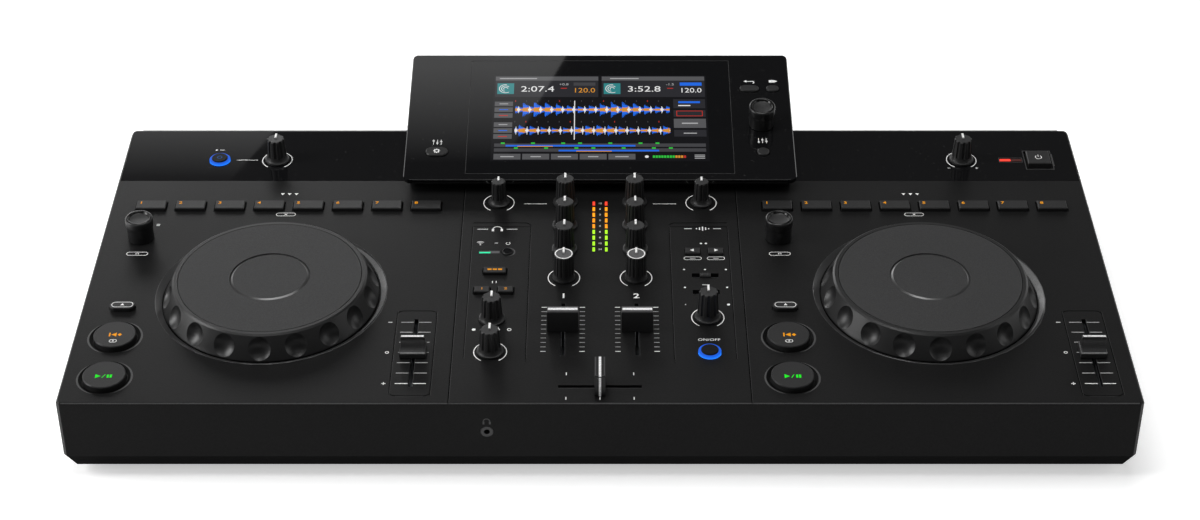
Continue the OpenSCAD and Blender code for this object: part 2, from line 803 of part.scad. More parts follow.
// Lower tray with a sloping skirt, an inner lip and the main board's posts
module tray_block(inset, bottom, top) {
  w = case_w / 2 - tray_step - inset;
  y0 = tray_step + inset;
  y1 = case_d - tray_step - inset;
  intersection() {
    translate([0, 0, bottom]) linear_extrude(top - bottom) case_outline(tray_step + inset);
    rotate([90, 0, 0]) linear_extrude(3 * case_d, center = true) skirt(-w, w);
    rotate([90, 0, 90]) linear_extrude(2 * case_w, center = true) skirt(y0, y1);
  }
}
module skirt(low, high) {
  polygon([[low + tray_inset, foot_h], [high - tray_inset, foot_h], [high, tray_top],
    [high, tray_top + over], [low, tray_top + over], [low, tray_top]]);
}
module bottom_case() {
  color("#1b1c1e") translate([0, -overall_d / 2, 0]) difference() {
    union() {
      difference() {
        tray_block(0, foot_h, tray_top);
        tray_block(wall, foot_h + wall, tray_top + over);
      }
      translate([0, 0, tray_top - wall]) linear_extrude(wall + tray_lip) difference() {
        case_outline(wall + set_gap);
        case_outline(2 * wall + set_gap);
        translate([0, case_d]) square([case_w - 2 * lip_open, 2 * lip_open], center = true);
      }
      for (x = [-1, 1], y = [-1, 1])
        translate([x * main_post_x, main_y + y * main_post_y, foot_h + wall - over])
          cylinder(d = post_d, h = main_lift + over);
    }
    for (p = boss_places) translate([p[0], p[1], foot_h - over]) {
      cylinder(d = head_d + 2 * set_gap, h = head_t + over);
      cylinder(d = screw_d + 2 * set_gap, h = wall + 2 * over);
    }
  }
}

// Upper shell: deck, walls, jog dishes, board posts and every control's opening
module top_case() {
  color("#242527") difference() {
    union() {
      difference() {
        translate([0, -overall_d / 2, tray_top]) linear_extrude(deck_z - tray_top) case_outline(0);
        translate([0, -overall_d / 2, tray_top - over])
          linear_extrude(deck_z - tray_top - deck_t + over) case_outline(wall);
      }
      for (p = jog_at) on_deck(p, -well_t - well_floor_t)
        cylinder(d = wheel(well_d) + 2 * wall, h = well_t + well_floor_t - deck_t + over);
      for (s = [-1, 1], p = deck_posts) on_deck([s * deck_cx + p[0], p[1]], -board_drop)
        cylinder(d = post_d, h = board_drop - over);
      for (p = mixer_posts) on_deck(p, -board_drop) cylinder(d = post_d, h = board_drop - over);
      for (p = boss_places) on_deck(p, foot_h + wall - deck_z)
        cylinder(d = boss_d, h = deck_z - foot_h - wall - over);
    }
    deck_edge_cuts();
    deck_openings();
    deck_grooves();
    wall_openings();
    for (p = boss_places) on_deck(p, foot_h - deck_z)
      cylinder(d = screw_d + 2 * set_gap, h = wall + screw_l + over);
  }
}
module deck_edge_cuts() {
  side = edge_cut * sqrt(2);
  on_deck([0, 0]) rotate([45, 0, 0]) cube([2 * case_w, side, side], center = true);
  on_deck([0, case_d]) rotate([45, 0, 0]) cube([2 * case_w, side, side], center = true);
  for (x = [-1, 1]) {
    on_deck([x * case_w / 2, case_d / 2]) rotate([0, 45, 0]) cube([side, 2 * case_d, side], center = true);
    on_deck([x * (case_w - front_cut) / 2, front_cut / 2]) rotate([0, 0, x * 45]) rotate([45, 0, 0])
      cube([4 * front_cut, side, side], center = true);
  }
}
module through() { translate([0, 0, -deck_t - 2 * over]) linear_extrude(deck_t + 4 * over) children(); }
module deck_openings() {
  g = 2 * key_gap;
  for (p = jog_at) on_deck(p) {
    rim_d = wheel(well_d);
    bed_d = wheel(jog_d) + 2 * well_gap;
    slope = (rim_d - bed_d) / well_slope_t;
    translate([0, 0, -well_t]) cylinder(d = bed_d, h = well_t, $fn = 128);
    translate([0, 0, -well_slope_t])
      cylinder(d1 = bed_d, d2 = rim_d + slope * over, h = well_slope_t + over, $fn = 128);
    translate([0, 0, -well_t - well_floor_t - over])
      cylinder(d = spindle_d + 2 * spindle_shoulder + 2 * over, h = well_t + over);
  }
  for (p = concat(cue_key_places(-1), cue_key_places(1))) on_deck(p)
    through() square([across(cue_key_w) + g, cue_key_d + g], center = true);
  for (p = shift_at) on_deck(p) through() pill(shift_w + g, shift_d + g);
  for (p = transport_at) on_deck(p) {
    foot_d = transport_d + g + 2 * dish_ledge;
    slope = (transport_dish_d - foot_d) / dish_t;
    translate([0, 0, -dish_t])
      cylinder(d1 = foot_d, d2 = transport_dish_d + slope * over, h = dish_t + over);
    through() circle(d = transport_d + g);
  }
  for (p = concat(loop_encoders, mixer_knobs, strip_knobs)) on_deck(p) through() circle(d = shaft_hole_d);
  for (p = tempo_at) on_deck(p) through() square([slot_w, tempo_slot_l], center = true);
  for (p = channel_at) on_deck(p) through() square([slot_w, channel_slot_l], center = true);
  on_deck(cross_at) through() square([cross_slot_l, slot_w], center = true);
  for (p = concat(phones_keys, beat_keys_at)) on_deck(p)
    through() square([small_key_w + g, small_key_d + g], center = true);
  on_deck(phones_master_at) through() square([master_key_w + g, small_key_d + g], center = true);
  on_deck(pairing_at) through() circle(d = pairing_d + g);
  for (p = switches_at) on_deck(p) through() square([switch_l, switch_w], center = true);
  for (p = lit_at) on_deck(p) through() circle(d = lit_d + g);
  on_deck(power_at) through() square(power_key_w + g, center = true);
  lens_windows(set_gap, over);
  strip_recess(0);
}
// Both strips' outline, let into the deck beside the display's pedestal
module strip_recess(gap) {
  inner = display_w / 2 - housing_side + seat_gap;
  on_deck([0, 0], -strip_t) linear_extrude(strip_t + (gap > 0 ? 0 : over)) intersection() {
    case_outline(edge_cut + strip_margin + gap);
    for (x = [-1, 1]) translate([x * (case_w / 2 + inner) / 2, strip_y + gap + strip_d / 2])
      square([case_w / 2 - inner - 2 * gap, strip_d], center = true);
  }
}
module groove_ring(w, d, r) {
  translate([0, 0, -groove_t]) linear_extrude(groove_t + over) difference() {
    rounded(w + groove_w, d + groove_w, r + groove_w / 2);
    rounded(w - groove_w, d - groove_w, r - groove_w / 2);
  }
}
module deck_grooves() {
  panel_r = 4;
  section_in = 7.2;
  section_w = 38;
  section_top = along(188.7);
  section_l = along(150);
  section_end = display_front + housing_in;
  for (x = [-1, 1]) on_deck([x * seam_x, 0], -groove_t)
    translate([-groove_w / 2, -over, 0]) cube([groove_w, section_end + over, groove_t + over]);
  for (p = tempo_at) on_deck(p) groove_ring(tempo_panel_w, along(tempo_panel_l), panel_r);
  for (x = [-1, 1]) intersection() {
    on_deck([x * (seam_x - section_in), section_top - section_l])
      groove_ring(2 * section_w, 2 * section_l, panel_r);
    on_deck([x * (seam_x - section_in - section_w / 2 - groove_w), section_top - section_l / 2 + groove_w])
      cube([section_w + 2 * groove_w, section_l, 4 * deck_t], center = true);
  }
}
module wall_openings() {
  back = case_d - wall - over;
  hole_l = wall + 2 * over;
  on_deck([mic_socket_x, back], socket_z) rotate([-90, 0, 0])
    cylinder(d = mic_sleeve_d + 2 * set_gap, h = hole_l);
  for (i = [0, 1]) on_deck([output_x + i * output_pitch, back], socket_z) rotate([-90, 0, 0])
    cylinder(d = rca_plate - 2 * socket_rim, h = hole_l);
  on_deck([storage_x, back], socket_z) wall_cut(usb_a, hole_l);
  on_deck([computer_x, back], socket_z) wall_cut(usb_b, hole_l);
  on_deck([mains_x, back], socket_z) rotate([-90, 0, 0]) linear_extrude(hole_l)
    pill(mains_w + 2 * mains_rim + 2 * set_gap, mains_h + 2 * mains_rim + 2 * set_gap);
  on_deck([phones_socket_x, -over], phones_socket_z) rotate([-90, 0, 0])
    cylinder(d = jack_d + 2 * set_gap, h = hole_l);
}
module wall_cut(size, l) {
  rotate([-90, 0, 0]) linear_extrude(l) square([size[0] + 2 * usb_wall + 2 * set_gap,
    size[1] + 2 * usb_wall + 2 * set_gap], center = true);
}

// Gloss strips set flush into the deck on both sides of the display
module gloss_strips() {
  color("#0b0b0d") difference() {
    strip_recess(set_gap);
    for (p = strip_knobs) on_deck(p) through() circle(d = shaft_hole_d);
    on_deck(mic_button_at) through() circle(d = lit_d + 2 * key_gap);
    on_deck(power_at) through() rounded(power_recess_w, power_recess_d, recess_r);
    on_deck(power_light_at) through()
      square([power_light_l + 2 * set_gap, light_w + 2 * set_gap], center = true);
  }
}

// Wedge-shaped housing that stands on the deck and overhangs the back wall
module housing_form(inset, top) {
  front = housing_in + inset;
  rear = display_l - housing_in - inset;
  low = -bezel_t - housing_rear + inset;
  foot_y = pedestal_y - inset;
  intersection() {
    translate([0, -overall_d / 2, deck_z]) rotate([90, 0, 90])
      linear_extrude(display_w, center = true) polygon([[panel_y(front, -bezel_t), inset],
        [foot_y, inset], [foot_y, overhang_h + inset], [panel_y(rear, low), panel_h(rear, low)],
        [panel_y(rear, top), panel_h(rear, top)], [panel_y(front, top), panel_h(front, top)]]);
    on_panel(0, display_l / 2, -2 * display_l) linear_extrude(4 * display_l)
      rounded(display_w - 2 * (housing_side + inset), display_l - 2 * front, display_r);
  }
}
module display_housing() {
  color("#1c1d1f") difference() {
    housing_form(0, -bezel_t);
    housing_form(wall, over);
  }
}

// Gloss front of the display with a seat for the touch screen
module display_bezel() {
  g = 2 * key_gap;
  color("#0c0c0e") difference() {
    union() {
      on_panel(0, display_l / 2, -bezel_t) linear_extrude(bezel_t) rounded(display_w, display_l, display_r);
      for (p = panel_post_places()) on_panel(p[0], p[1], -panel_board_drop)
        cylinder(d = post_d - 2, h = panel_board_drop - bezel_t + over);
    }
    on_panel(0, display_l / 2, -glass_t) linear_extrude(glass_t + over)
      rounded(glass_w + 2 * set_gap, glass_l + 2 * set_gap, glass_r);
    on_panel(0, display_l / 2, -bezel_t - over) linear_extrude(bezel_t + 2 * over)
      square([glass_w - 2 * glass_rim, glass_l - 2 * glass_rim], center = true);
    on_panel(panel_key_x, browse_s) through() circle(d = shaft_hole_d);
    on_panel(-panel_key_x, settings_s) through() pill(settings_w + g, settings_d + g);
    on_panel(back_x, back_s) through() pill(back_w + g, panel_key_d + g);
    on_panel(tag_x, back_s) through() pill(tag_w + g, panel_key_d + g);
    on_panel(panel_key_x, settings_s) through() circle(d = deck_set_d + g);
    display_bezel_edge();
  }
}
module display_bezel_edge() {
  side = key_cut * sqrt(2);
  for (s = [0, display_l]) on_panel(0, s) rotate([45, 0, 0])
    cube([2 * display_w, side, side], center = true);
  for (x = [-1, 1]) on_panel(x * display_w / 2, display_l / 2) rotate([0, 45, 0])
    cube([side, 2 * display_l, side], center = true);
}
function panel_post_places() = [for (x = [-1, 1], s = [panel_post_in, panel_board_l - panel_post_in])
  [x * (glass_w / 2 + panel_post_dx), panel_board_s + s]];

// Cover glass bonded to the panel behind it
module touch_screen() {
  color("#101216") {
    on_panel(0, display_l / 2, -glass_t) linear_extrude(glass_t) rounded(glass_w, glass_l, glass_r);
    on_panel(0, display_l / 2, -glass_t - lcd_t) linear_extrude(lcd_t + glass_t / 2)
      square([glass_w - 2 * glass_rim - 2 * set_gap, glass_l - 2 * glass_rim - 2 * set_gap], center = true);
  }
}

// Control boards on the deck's posts, the display's board and the main board
module circuit_boards() {
  color("#1f5a36") {
    for (s = [-1, 1]) on_deck([s * deck_cx, case_d / 2], -board_drop - board_t)
      linear_extrude(board_t) square([deck_w - 2 * board_in, case_d - 2 * wall - board_gap], center = true);
    on_deck([0, case_d / 2], -board_drop - board_t)
      linear_extrude(board_t) square([mixer_w - board_gap, case_d - 2 * wall - board_gap], center = true);
    on_panel(0, panel_board_s + panel_board_l / 2, -panel_board_drop - board_t)
      linear_extrude(board_t) square([panel_board_w, panel_board_l], center = true);
    translate([0, main_y - overall_d / 2, foot_h + wall + main_lift])
      linear_extrude(board_t) square([main_w, main_d], center = true);
  }
}

// Rotary controls on the boards, each with a bush for its shaft
module pot_bodies() {
  color("#8d9094") {
    for (p = concat(mixer_knobs, strip_knobs, loop_encoders)) on_deck(p)
      pot(pot_top, -board_drop, bush_top, bore_z);
    on_panel(panel_key_x, browse_s)
      pot(panel_pot_top, -panel_board_drop, -bezel_t - seat_gap, panel_bore_z);
  }
}

// Slide controls on the boards
module fader_bodies() {
  color("#777b80") {
    for (p = tempo_at) on_deck(p) fader_body(tempo_slot_l);
    for (p = channel_at) on_deck(p) fader_body(channel_slot_l);
    on_deck(cross_at) rotate(90) fader_body(cross_slot_l);
    for (p = switches_at) on_deck(p) switch_body();
  }
}

// Switches under the keys
module tact_switches() {
  color("#2b2b2e") {
    for (p = concat(cue_key_places(-1), cue_key_places(1), shift_at, transport_at, phones_keys,
        beat_keys_at, lit_at, [phones_master_at, pairing_at, power_at]))
      on_deck(p, -board_drop) tact_switch(switch_h);
    for (p = [[-panel_key_x, settings_s], [panel_key_x, settings_s], [back_x, back_s], [tag_x, back_s]])
      on_panel(p[0], p[1], -panel_board_drop) tact_switch(panel_switch_h);
  }
}

// Fixed spindles, flanged to the underside of the jog dishes
module jog_spindles() {
  shoulder_r = spindle_d / 2 + spindle_shoulder;
  flange_r = shoulder_r + 5;
  flange_h = 3;
  floor_z = -well_t - well_floor_t;
  color("#a9acb0") for (p = jog_at) on_deck(p) {
    translate([0, 0, floor_z - flange_h]) cylinder(r = flange_r, h = flange_h);
    translate([0, 0, floor_z - over]) cylinder(r = shoulder_r, h = hub_z - seat_gap - floor_z + over);
    translate([0, 0, floor_z - over]) cylinder(d = spindle_d, h = jog_web_z - seat_gap - floor_z + over);
  }
}

// Feet under the tray
module rubber_feet() {
  color("#0e0e0f") for (p = foot_places) translate([p[0], p[1] - overall_d / 2, 0])
    cylinder(d1 = foot_d - 2, d2 = foot_d, h = foot_h);
}

// Screws that draw the tray against the case's bosses
module case_screws() {
  color("#55585c") for (p = boss_places) translate([p[0], p[1] - overall_d / 2, foot_h]) difference() {
    union() {
      cylinder(d = head_d, h = head_t);
      cylinder(d = screw_d, h = wall + screw_l);
    }
    translate([0, 0, -over]) for (a = [0, 90]) rotate(a)
      translate([-drive_l / 2, -drive_w / 2, 0]) cube([drive_l, drive_w, over + head_t / 2]);
  }
}

// Headphone socket behind the front wall
module headphone_socket() {
  color("#17181a") on_deck([phones_socket_x, 0], phones_socket_z) rotate([-90, 0, 0]) difference() {
    union() {
      cylinder(d = jack_d, h = wall + over);
      translate([-jack_body / 2, -jack_body / 2, wall]) cube([jack_body, jack_body, jack_l - wall]);
    }
    translate([0, 0, -over]) cylinder(d = phones_bore, h = jack_l - wall + over);
  }
}

// Microphone socket and the pair of output sockets in the back wall
module audio_sockets() {
  color("#18191b") {
    on_deck([mic_socket_x, case_d - wall], socket_z) rotate([-90, 0, 0]) difference() {
      union() {
        translate([0, 0, -over]) cylinder(d = mic_sleeve_d, h = wall + mic_sleeve_out + over);
        translate([-mic_body / 2, -mic_body / 2, -mic_l]) cube([mic_body, mic_body, mic_l]);
      }
      translate([0, 0, mic_end - mic_l]) cylinder(d = mic_bore, h = mic_l + wall + mic_sleeve_out);
    }
    for (i = [0, 1]) on_deck([output_x + i * output_pitch, case_d - wall], socket_z)
      rotate([-90, 0, 0]) difference() {
        union() {
          translate([-rca_plate / 2, -rca_plate / 2, -rca_body_l]) cube([rca_plate, rca_plate, rca_body_l]);
          translate([0, 0, -over]) cylinder(d = rca_plate - 2 * socket_rim - 2 * set_gap, h = wall + over);
          translate([0, 0, -over]) cylinder(d = rca_d, h = wall + rca_l + over);
        }
        translate([0, 0, wall]) cylinder(d = rca_bore, h = rca_l + over);
      }
  }
}

// Storage socket, computer socket and mains inlet in the back wall
module usb_socket(size, tongue) {
  rim = 2 * (usb_wall + socket_rim);
  rotate([-90, 0, 0]) difference() {
    union() {
      translate([0, 0, -usb_l]) linear_extrude(usb_l + wall)
        square([size[0] + 2 * usb_wall, size[1] + 2 * usb_wall], center = true);
      translate([0, 0, -socket_rim_t]) linear_extrude(socket_rim_t)
        square([size[0] + rim, size[1] + rim], center = true);
    }
    difference() {
      translate([0, 0, usb_wall - usb_l]) linear_extrude(usb_l + wall) square(size, center = true);
      translate([0, 0, -usb_l]) linear_extrude(usb_l + wall - usb_tongue_in) square(tongue, center = true);
    }
  }
}
module mains_inlet() {
  outer_w = mains_w + 2 * mains_rim;
  outer_h = mains_h + 2 * mains_rim;
  rotate([-90, 0, 0]) {
    difference() {
      union() {
        translate([0, 0, -mains_l]) linear_extrude(mains_l + wall) pill(outer_w, outer_h);
        translate([0, 0, -socket_rim_t]) linear_extrude(socket_rim_t)
          pill(outer_w + 2 * socket_rim, outer_h + 2 * socket_rim);
      }
      translate([0, 0, wall - mains_t]) linear_extrude(mains_t + over) pill(mains_w, mains_h);
    }
    for (x = [-1, 1]) translate([x * pin_pitch / 2, 0, wall - mains_t - over])
      cylinder(d = pin_d, h = pin_l + over);
  }
}
module data_sockets() {
  color("#6d7074") {
    on_deck([storage_x, case_d - wall], socket_z) usb_socket(usb_a, usb_a_tongue);
    on_deck([computer_x, case_d - wall], socket_z) usb_socket(usb_b, usb_b_tongue);
    on_deck([mains_x, case_d - wall], socket_z) mains_inlet();
  }
}

// Light windows: two meter bars, the pairing light and the power light
module lens_windows(gap, top) {
  for (x = [-1, 1], i = [0 : meter_n - 1])
    on_deck([x * meter_dx / 2, meter_y + (i - (meter_n - 1) / 2) * meter_pitch])
      window_block(meter_w + 2 * gap, meter_l + 2 * gap, top);
  on_deck(pairing_light_at) window_block(pairing_light_l + 2 * gap, light_w + 2 * gap, top);
  on_deck(power_light_at) window_block(power_light_l + 2 * gap, light_w + 2 * gap, top);
}
module window_block(w, l, top) {
  translate([-w / 2, -l / 2, -deck_t - lens_t / 2]) cube([w, l, deck_t + lens_t / 2 + top]);
}
module lens_bar(w, l) {
  translate([-w / 2, -l / 2 - lens_rim, -deck_t - lens_t]) cube([w, l + 2 * lens_rim, lens_t]);
}
module indicator_lenses() {
  color("#9aa28a") {
    lens_windows(0, 0);
    for (x = [-1, 1]) on_deck([x * meter_dx / 2, meter_y])
      lens_bar(meter_w, (meter_n - 1) * meter_pitch + meter_l);
    on_deck(pairing_light_at) lens_bar(pairing_light_l, light_w);
    on_deck(power_light_at) lens_bar(power_light_l, light_w);
  }
}

// Jog ring: flared rim with finger scoops, a web and a hub on the spindle
module jog_ring(side) {
  flank_h = jog_h - jog_foot_z;
  foot_r = wheel(jog_d) / 2;
  face_r = wheel(jog_face_d) / 2;
  plate_r = wheel(jog_plate_d) / 2;
  lip_r = face_r + jog_edge / 2;
  slope = atan((foot_r - lip_r) / (flank_h - 2 * jog_lip));
  mid_r = (foot_r + lip_r) / 2;
  scoop_w = wheel(scoop_d);
  scoop_r = (scoop_w * scoop_w / 4 + scoop_t * scoop_t) / (2 * scoop_t);
  reach = scoop_r - scoop_t;
  bore_r = spindle_d / 2 + jog_gap;
  hub_r = bore_r + hub_wall;
  color("#2a2b2d") on_deck(jog_at[side]) difference() {
    union() {
      rotate_extrude($fn = 160) polygon([[plate_r - 1, jog_web_z], [plate_r, jog_web_z - 1],
        [foot_r - jog_foot_w, jog_foot_z], [foot_r, jog_foot_z], [foot_r, jog_foot_z + jog_lip],
        [lip_r, jog_h - jog_lip], [face_r - jog_edge, jog_h], [plate_r, jog_h],
        [plate_r, jog_web_z + jog_web_t], [plate_r - 1, jog_web_z + jog_web_t]]);
      rotate_extrude($fn = 160) polygon([[0, jog_web_z], [plate_r, jog_web_z],
        [plate_r, jog_web_z + jog_web_t], [0, jog_web_z + jog_web_t]]);
      translate([0, 0, hub_z]) cylinder(r = hub_r, h = jog_web_z - hub_z + over);
    }
    translate([0, 0, hub_z - over]) cylinder(r = bore_r, h = jog_web_z - hub_z + over);
    for (i = [0 : scoop_n - 1]) rotate(360 / scoop_n * i - 90)
      translate([mid_r + reach * cos(slope), 0, (jog_h + jog_foot_z) / 2 + reach * sin(slope)])
        sphere(r = scoop_r);
  }
}
// Flat touch plate with a ring pressed into its face: a bevel on the inside, a steep wall outside
module jog_plate(side) {
  top = jog_h;
  r = wheel(jog_mark_d) / 2;
  color("#3b3c3f") on_deck(jog_at[side]) difference() {
    translate([0, 0, top - jog_plate_t])
      cylinder(d = wheel(jog_plate_d) - 2 * seat_gap, h = jog_plate_t, $fn = 160);
    rotate_extrude($fn = 128)
      polygon([[r - mark_w, top], [r, top - mark_t], [r + mark_wall, top], [r, top + over]]);
  }
}
module hot_cue_keys(side) {
  color("#3a3b3d") for (p = cue_key_places(side)) on_deck(p)
    box_key(across(cue_key_w), cue_key_d, cue_key_h);
}
module shift_key(side) { color("#2c2d2f") on_deck(shift_at[side]) pill_key(shift_w, shift_d, shift_h); }
module cue_button(side) { color("#38393b") on_deck(transport_at[side]) round_key(transport_d, transport_h); }
module play_button(side) {
  color("#38393b") on_deck(transport_at[side + 2]) round_key(transport_d, transport_h);
}
module loop_encoder(side) { color("#1d1e20") on_deck(loop_encoders[side]) encoder_knob(shaft_z); }
module tempo_slider(side) { color("#2d2e30") on_deck(tempo_at[side]) tempo_cap(); }

module jog_ring_left() { jog_ring(0); }
module jog_ring_right() { jog_ring(1); }
module jog_plate_left() { jog_plate(0); }
module jog_plate_right() { jog_plate(1); }
module hot_cue_keys_left() { hot_cue_keys(-1); }
module hot_cue_keys_right() { hot_cue_keys(1); }
module shift_key_left() { shift_key(0); }
module shift_key_right() { shift_key(1); }
module cue_button_left() { cue_button(0); }
module cue_button_right() { cue_button(1); }
module play_button_left() { play_button(0); }
module play_button_right() { play_button(1); }
module loop_encoder_left() { loop_encoder(0); }
module loop_encoder_right() { loop_encoder(1); }
module tempo_cap_left() { tempo_slider(0); }
module tempo_cap_right() { tempo_slider(1); }

module trim_knob(x) { color("#232426") on_deck([x, eq_rows[0]]) thin_knob(); }
module channel_knob(x, row) { color("#232426") on_deck([x, eq_rows[row]]) eq_knob(); }
module colour_knob(x) { color("#232426") on_deck([x, along(filter_y)]) filter_knob(); }
module trim_knob_1() { trim_knob(-side_x); }
module trim_knob_2() { trim_knob(side_x); }
module high_knob_1() { channel_knob(-channel_x, 0); }
module high_knob_2() { channel_knob(channel_x, 0); }
module mid_knob_1() { channel_knob(-channel_x, 1); }
module mid_knob_2() { channel_knob(channel_x, 1); }
module low_knob_1() { channel_knob(-channel_x, 2); }
module low_knob_2() { channel_knob(channel_x, 2); }
module filter_knob_1() { colour_knob(-channel_x); }
module filter_knob_2() { colour_knob(channel_x); }
module channel_cap_1() { color("#2d2e30") on_deck(channel_at[0]) fader_cap(); }
module channel_cap_2() { color("#2d2e30") on_deck(channel_at[1]) fader_cap(); }
module crossfader_cap() { color("#2d2e30") on_deck(cross_at) rotate(90) fader_cap(); }

// Pairing key, master key and the two cue keys
module headphone_keys() {
  color("#3a3b3d") {
    on_deck(pairing_at) round_key(pairing_d, pairing_h);
    on_deck(phones_master_at) box_key(master_key_w, small_key_d, small_key_h);
    for (p = phones_keys) on_deck(p) box_key(small_key_w, small_key_d, small_key_h);
  }
}
module headphone_mix_knob() { color("#232426") on_deck([-side_x, along(phones_mix_y)]) level_knob(); }
module headphone_level_knob() { color("#232426") on_deck([-side_x, along(phones_level_y)]) level_knob(); }
module beat_keys() {
  color("#3a3b3d") for (p = beat_keys_at) on_deck(p) box_key(small_key_w, small_key_d, small_key_h);
}
module effect_select_switch() { color("#303133") on_deck(switches_at[0]) switch_knob(); }
module effect_assign_switch() { color("#303133") on_deck(switches_at[1]) switch_knob(); }
module effect_depth_knob() { color("#232426") on_deck([side_x, along(depth_y)]) level_knob(depth_knob_h); }
module effect_button() { color("#1d4fd8") on_deck(effect_button_at) lit_button(); }
module mic_button() { color("#1d4fd8") on_deck(mic_button_at) lit_button(); }
module mic_knob() { color("#232426") on_deck(mic_knob_at) level_knob(); }
module master_knob() { color("#232426") on_deck(master_knob_at) level_knob(); }
module power_button() { color("#1e1f21") on_deck(power_at) box_key(power_key_w, power_key_w, power_h); }

// Settings keys, back key and tag key in the display's bezel
module display_keys() {
  color("#19191b") {
    on_panel(-panel_key_x, settings_s)
      pill_key(settings_w, settings_d, panel_key_h, panel_flange_z, panel_stem_z);
    on_panel(back_x, back_s) pill_key(back_w, panel_key_d, panel_key_h, panel_flange_z, panel_stem_z);
    on_panel(tag_x, back_s) pill_key(tag_w, panel_key_d, panel_key_h, panel_flange_z, panel_stem_z);
    on_panel(panel_key_x, settings_s) round_key(deck_set_d, panel_key_h, panel_flange_z, panel_stem_z);
  }
}
module browse_encoder() { color("#1d1e20") on_panel(panel_key_x, browse_s) encoder_knob(panel_shaft_z); }

bottom_case();
top_case();
gloss_strips();
display_housing();
display_bezel();
touch_screen();
circuit_boards();
pot_bodies();
fader_bodies();
tact_switches();
jog_spindles();
rubber_feet();
case_screws();
headphone_socket();
audio_sockets();
data_sockets();
indicator_lenses();
jog_ring_left();
jog_ring_right();
jog_plate_left();
jog_plate_right();
hot_cue_keys_left();
hot_cue_keys_right();
shift_key_left();
shift_key_right();
cue_button_left();
cue_button_right();
play_button_left();
play_button_right();
loop_encoder_left();
loop_encoder_right();
tempo_cap_left();
tempo_cap_right();
trim_knob_1();
trim_knob_2();
high_knob_1();
high_knob_2();
mid_knob_1();
mid_knob_2();
low_knob_1();
low_knob_2();
filter_knob_1();
filter_knob_2();
channel_cap_1();
channel_cap_2();
crossfader_cap();
headphone_keys();
headphone_mix_knob();
headphone_level_knob();
beat_keys();
effect_select_switch();
effect_assign_switch();
effect_depth_knob();
effect_button();
mic_button();
mic_knob();
master_knob();
power_button();
display_keys();
browse_encoder();
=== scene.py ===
# Two-deck music console with a touch display: its finishes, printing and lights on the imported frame.
# The sections follow the console as it is put together, from the studio and the tray up to the display.
# Faces are drawn on in millimetres, from the middle of the case and from its front edge.
import math

import bmesh
import bpy
from mathutils import Matrix, Vector


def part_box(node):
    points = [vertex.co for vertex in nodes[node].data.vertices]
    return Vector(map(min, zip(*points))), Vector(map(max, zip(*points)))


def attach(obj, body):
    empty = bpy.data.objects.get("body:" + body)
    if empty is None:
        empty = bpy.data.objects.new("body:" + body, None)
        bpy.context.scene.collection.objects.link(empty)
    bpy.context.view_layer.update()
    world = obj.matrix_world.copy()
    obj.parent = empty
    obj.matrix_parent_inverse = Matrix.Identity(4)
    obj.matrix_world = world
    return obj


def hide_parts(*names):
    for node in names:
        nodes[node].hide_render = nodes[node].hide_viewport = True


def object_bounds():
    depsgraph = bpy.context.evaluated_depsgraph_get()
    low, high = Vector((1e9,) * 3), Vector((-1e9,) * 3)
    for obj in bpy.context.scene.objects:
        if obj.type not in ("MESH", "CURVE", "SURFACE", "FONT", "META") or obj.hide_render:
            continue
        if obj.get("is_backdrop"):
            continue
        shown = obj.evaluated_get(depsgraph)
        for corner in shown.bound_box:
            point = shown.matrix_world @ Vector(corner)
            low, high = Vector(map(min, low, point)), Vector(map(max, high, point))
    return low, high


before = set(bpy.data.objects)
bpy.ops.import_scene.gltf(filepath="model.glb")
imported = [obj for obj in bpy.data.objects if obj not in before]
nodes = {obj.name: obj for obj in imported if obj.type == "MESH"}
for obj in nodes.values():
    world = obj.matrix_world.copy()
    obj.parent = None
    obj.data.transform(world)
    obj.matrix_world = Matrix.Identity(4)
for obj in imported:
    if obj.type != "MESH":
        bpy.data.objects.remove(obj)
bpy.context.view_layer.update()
scene = bpy.context.scene

# Studio
# A pale floor under large soft lamps, and a camera in front of the console that looks down on it.
# The floor glows for the camera and in mirror reflections, so the background is white, and it still
# takes the console's shadow.
scene.view_settings.view_transform = "Standard"
lens_data = bpy.data.cameras.new("catalogue_camera")
lens_data.lens = 73.69
lens_data.sensor_width = 36
camera = bpy.data.objects.new("catalogue_camera", lens_data)
camera.location = (0, -1.3185, 0.9792)
camera.rotation_euler = (math.radians(90 - 35.6), 0, 0)
scene.collection.objects.link(camera)
scene.camera = camera


def fill(node, values):
    for name, value in values.items():
        node.inputs[name].default_value = value


def plug(tree, value, socket):
    if isinstance(value, bpy.types.NodeSocket):
        tree.links.new(value, socket)
    else:
        socket.default_value = (*value, 1) if isinstance(value, tuple) else value


def axes(tree, kind="Object"):
    where = tree.nodes.new("ShaderNodeTexCoord")
    parts = tree.nodes.new("ShaderNodeSeparateXYZ")
    tree.links.new(where.outputs[kind], parts.inputs[0])
    return parts.outputs


def remap(tree, value, from_low, from_high, to_low=0, to_high=1):
    node = tree.nodes.new("ShaderNodeMapRange")
    fill(node, {"From Min": from_low, "From Max": from_high, "To Min": to_low, "To Max": to_high})
    tree.links.new(value, node.inputs["Value"])
    return node.outputs["Result"]


def combine(tree, operation, *values):
    node = tree.nodes.new("ShaderNodeMath")
    node.operation = operation
    for value, socket in zip(values, node.inputs):
        plug(tree, value, socket)
    return node.outputs[0]


def ramp(tree, value, stops, interpolation="LINEAR"):
    node = tree.nodes.new("ShaderNodeValToRGB")
    node.color_ramp.interpolation = interpolation
    for element, (place, colour) in zip(node.color_ramp.elements, (stops[0], stops[-1])):
        element.position = place
        element.color = (*colour, 1)
    for place, colour in stops[1:-1]:
        node.color_ramp.elements.new(place).color = (*colour, 1)
    tree.links.new(value, node.inputs["Fac"])
    return node.outputs["Color"]


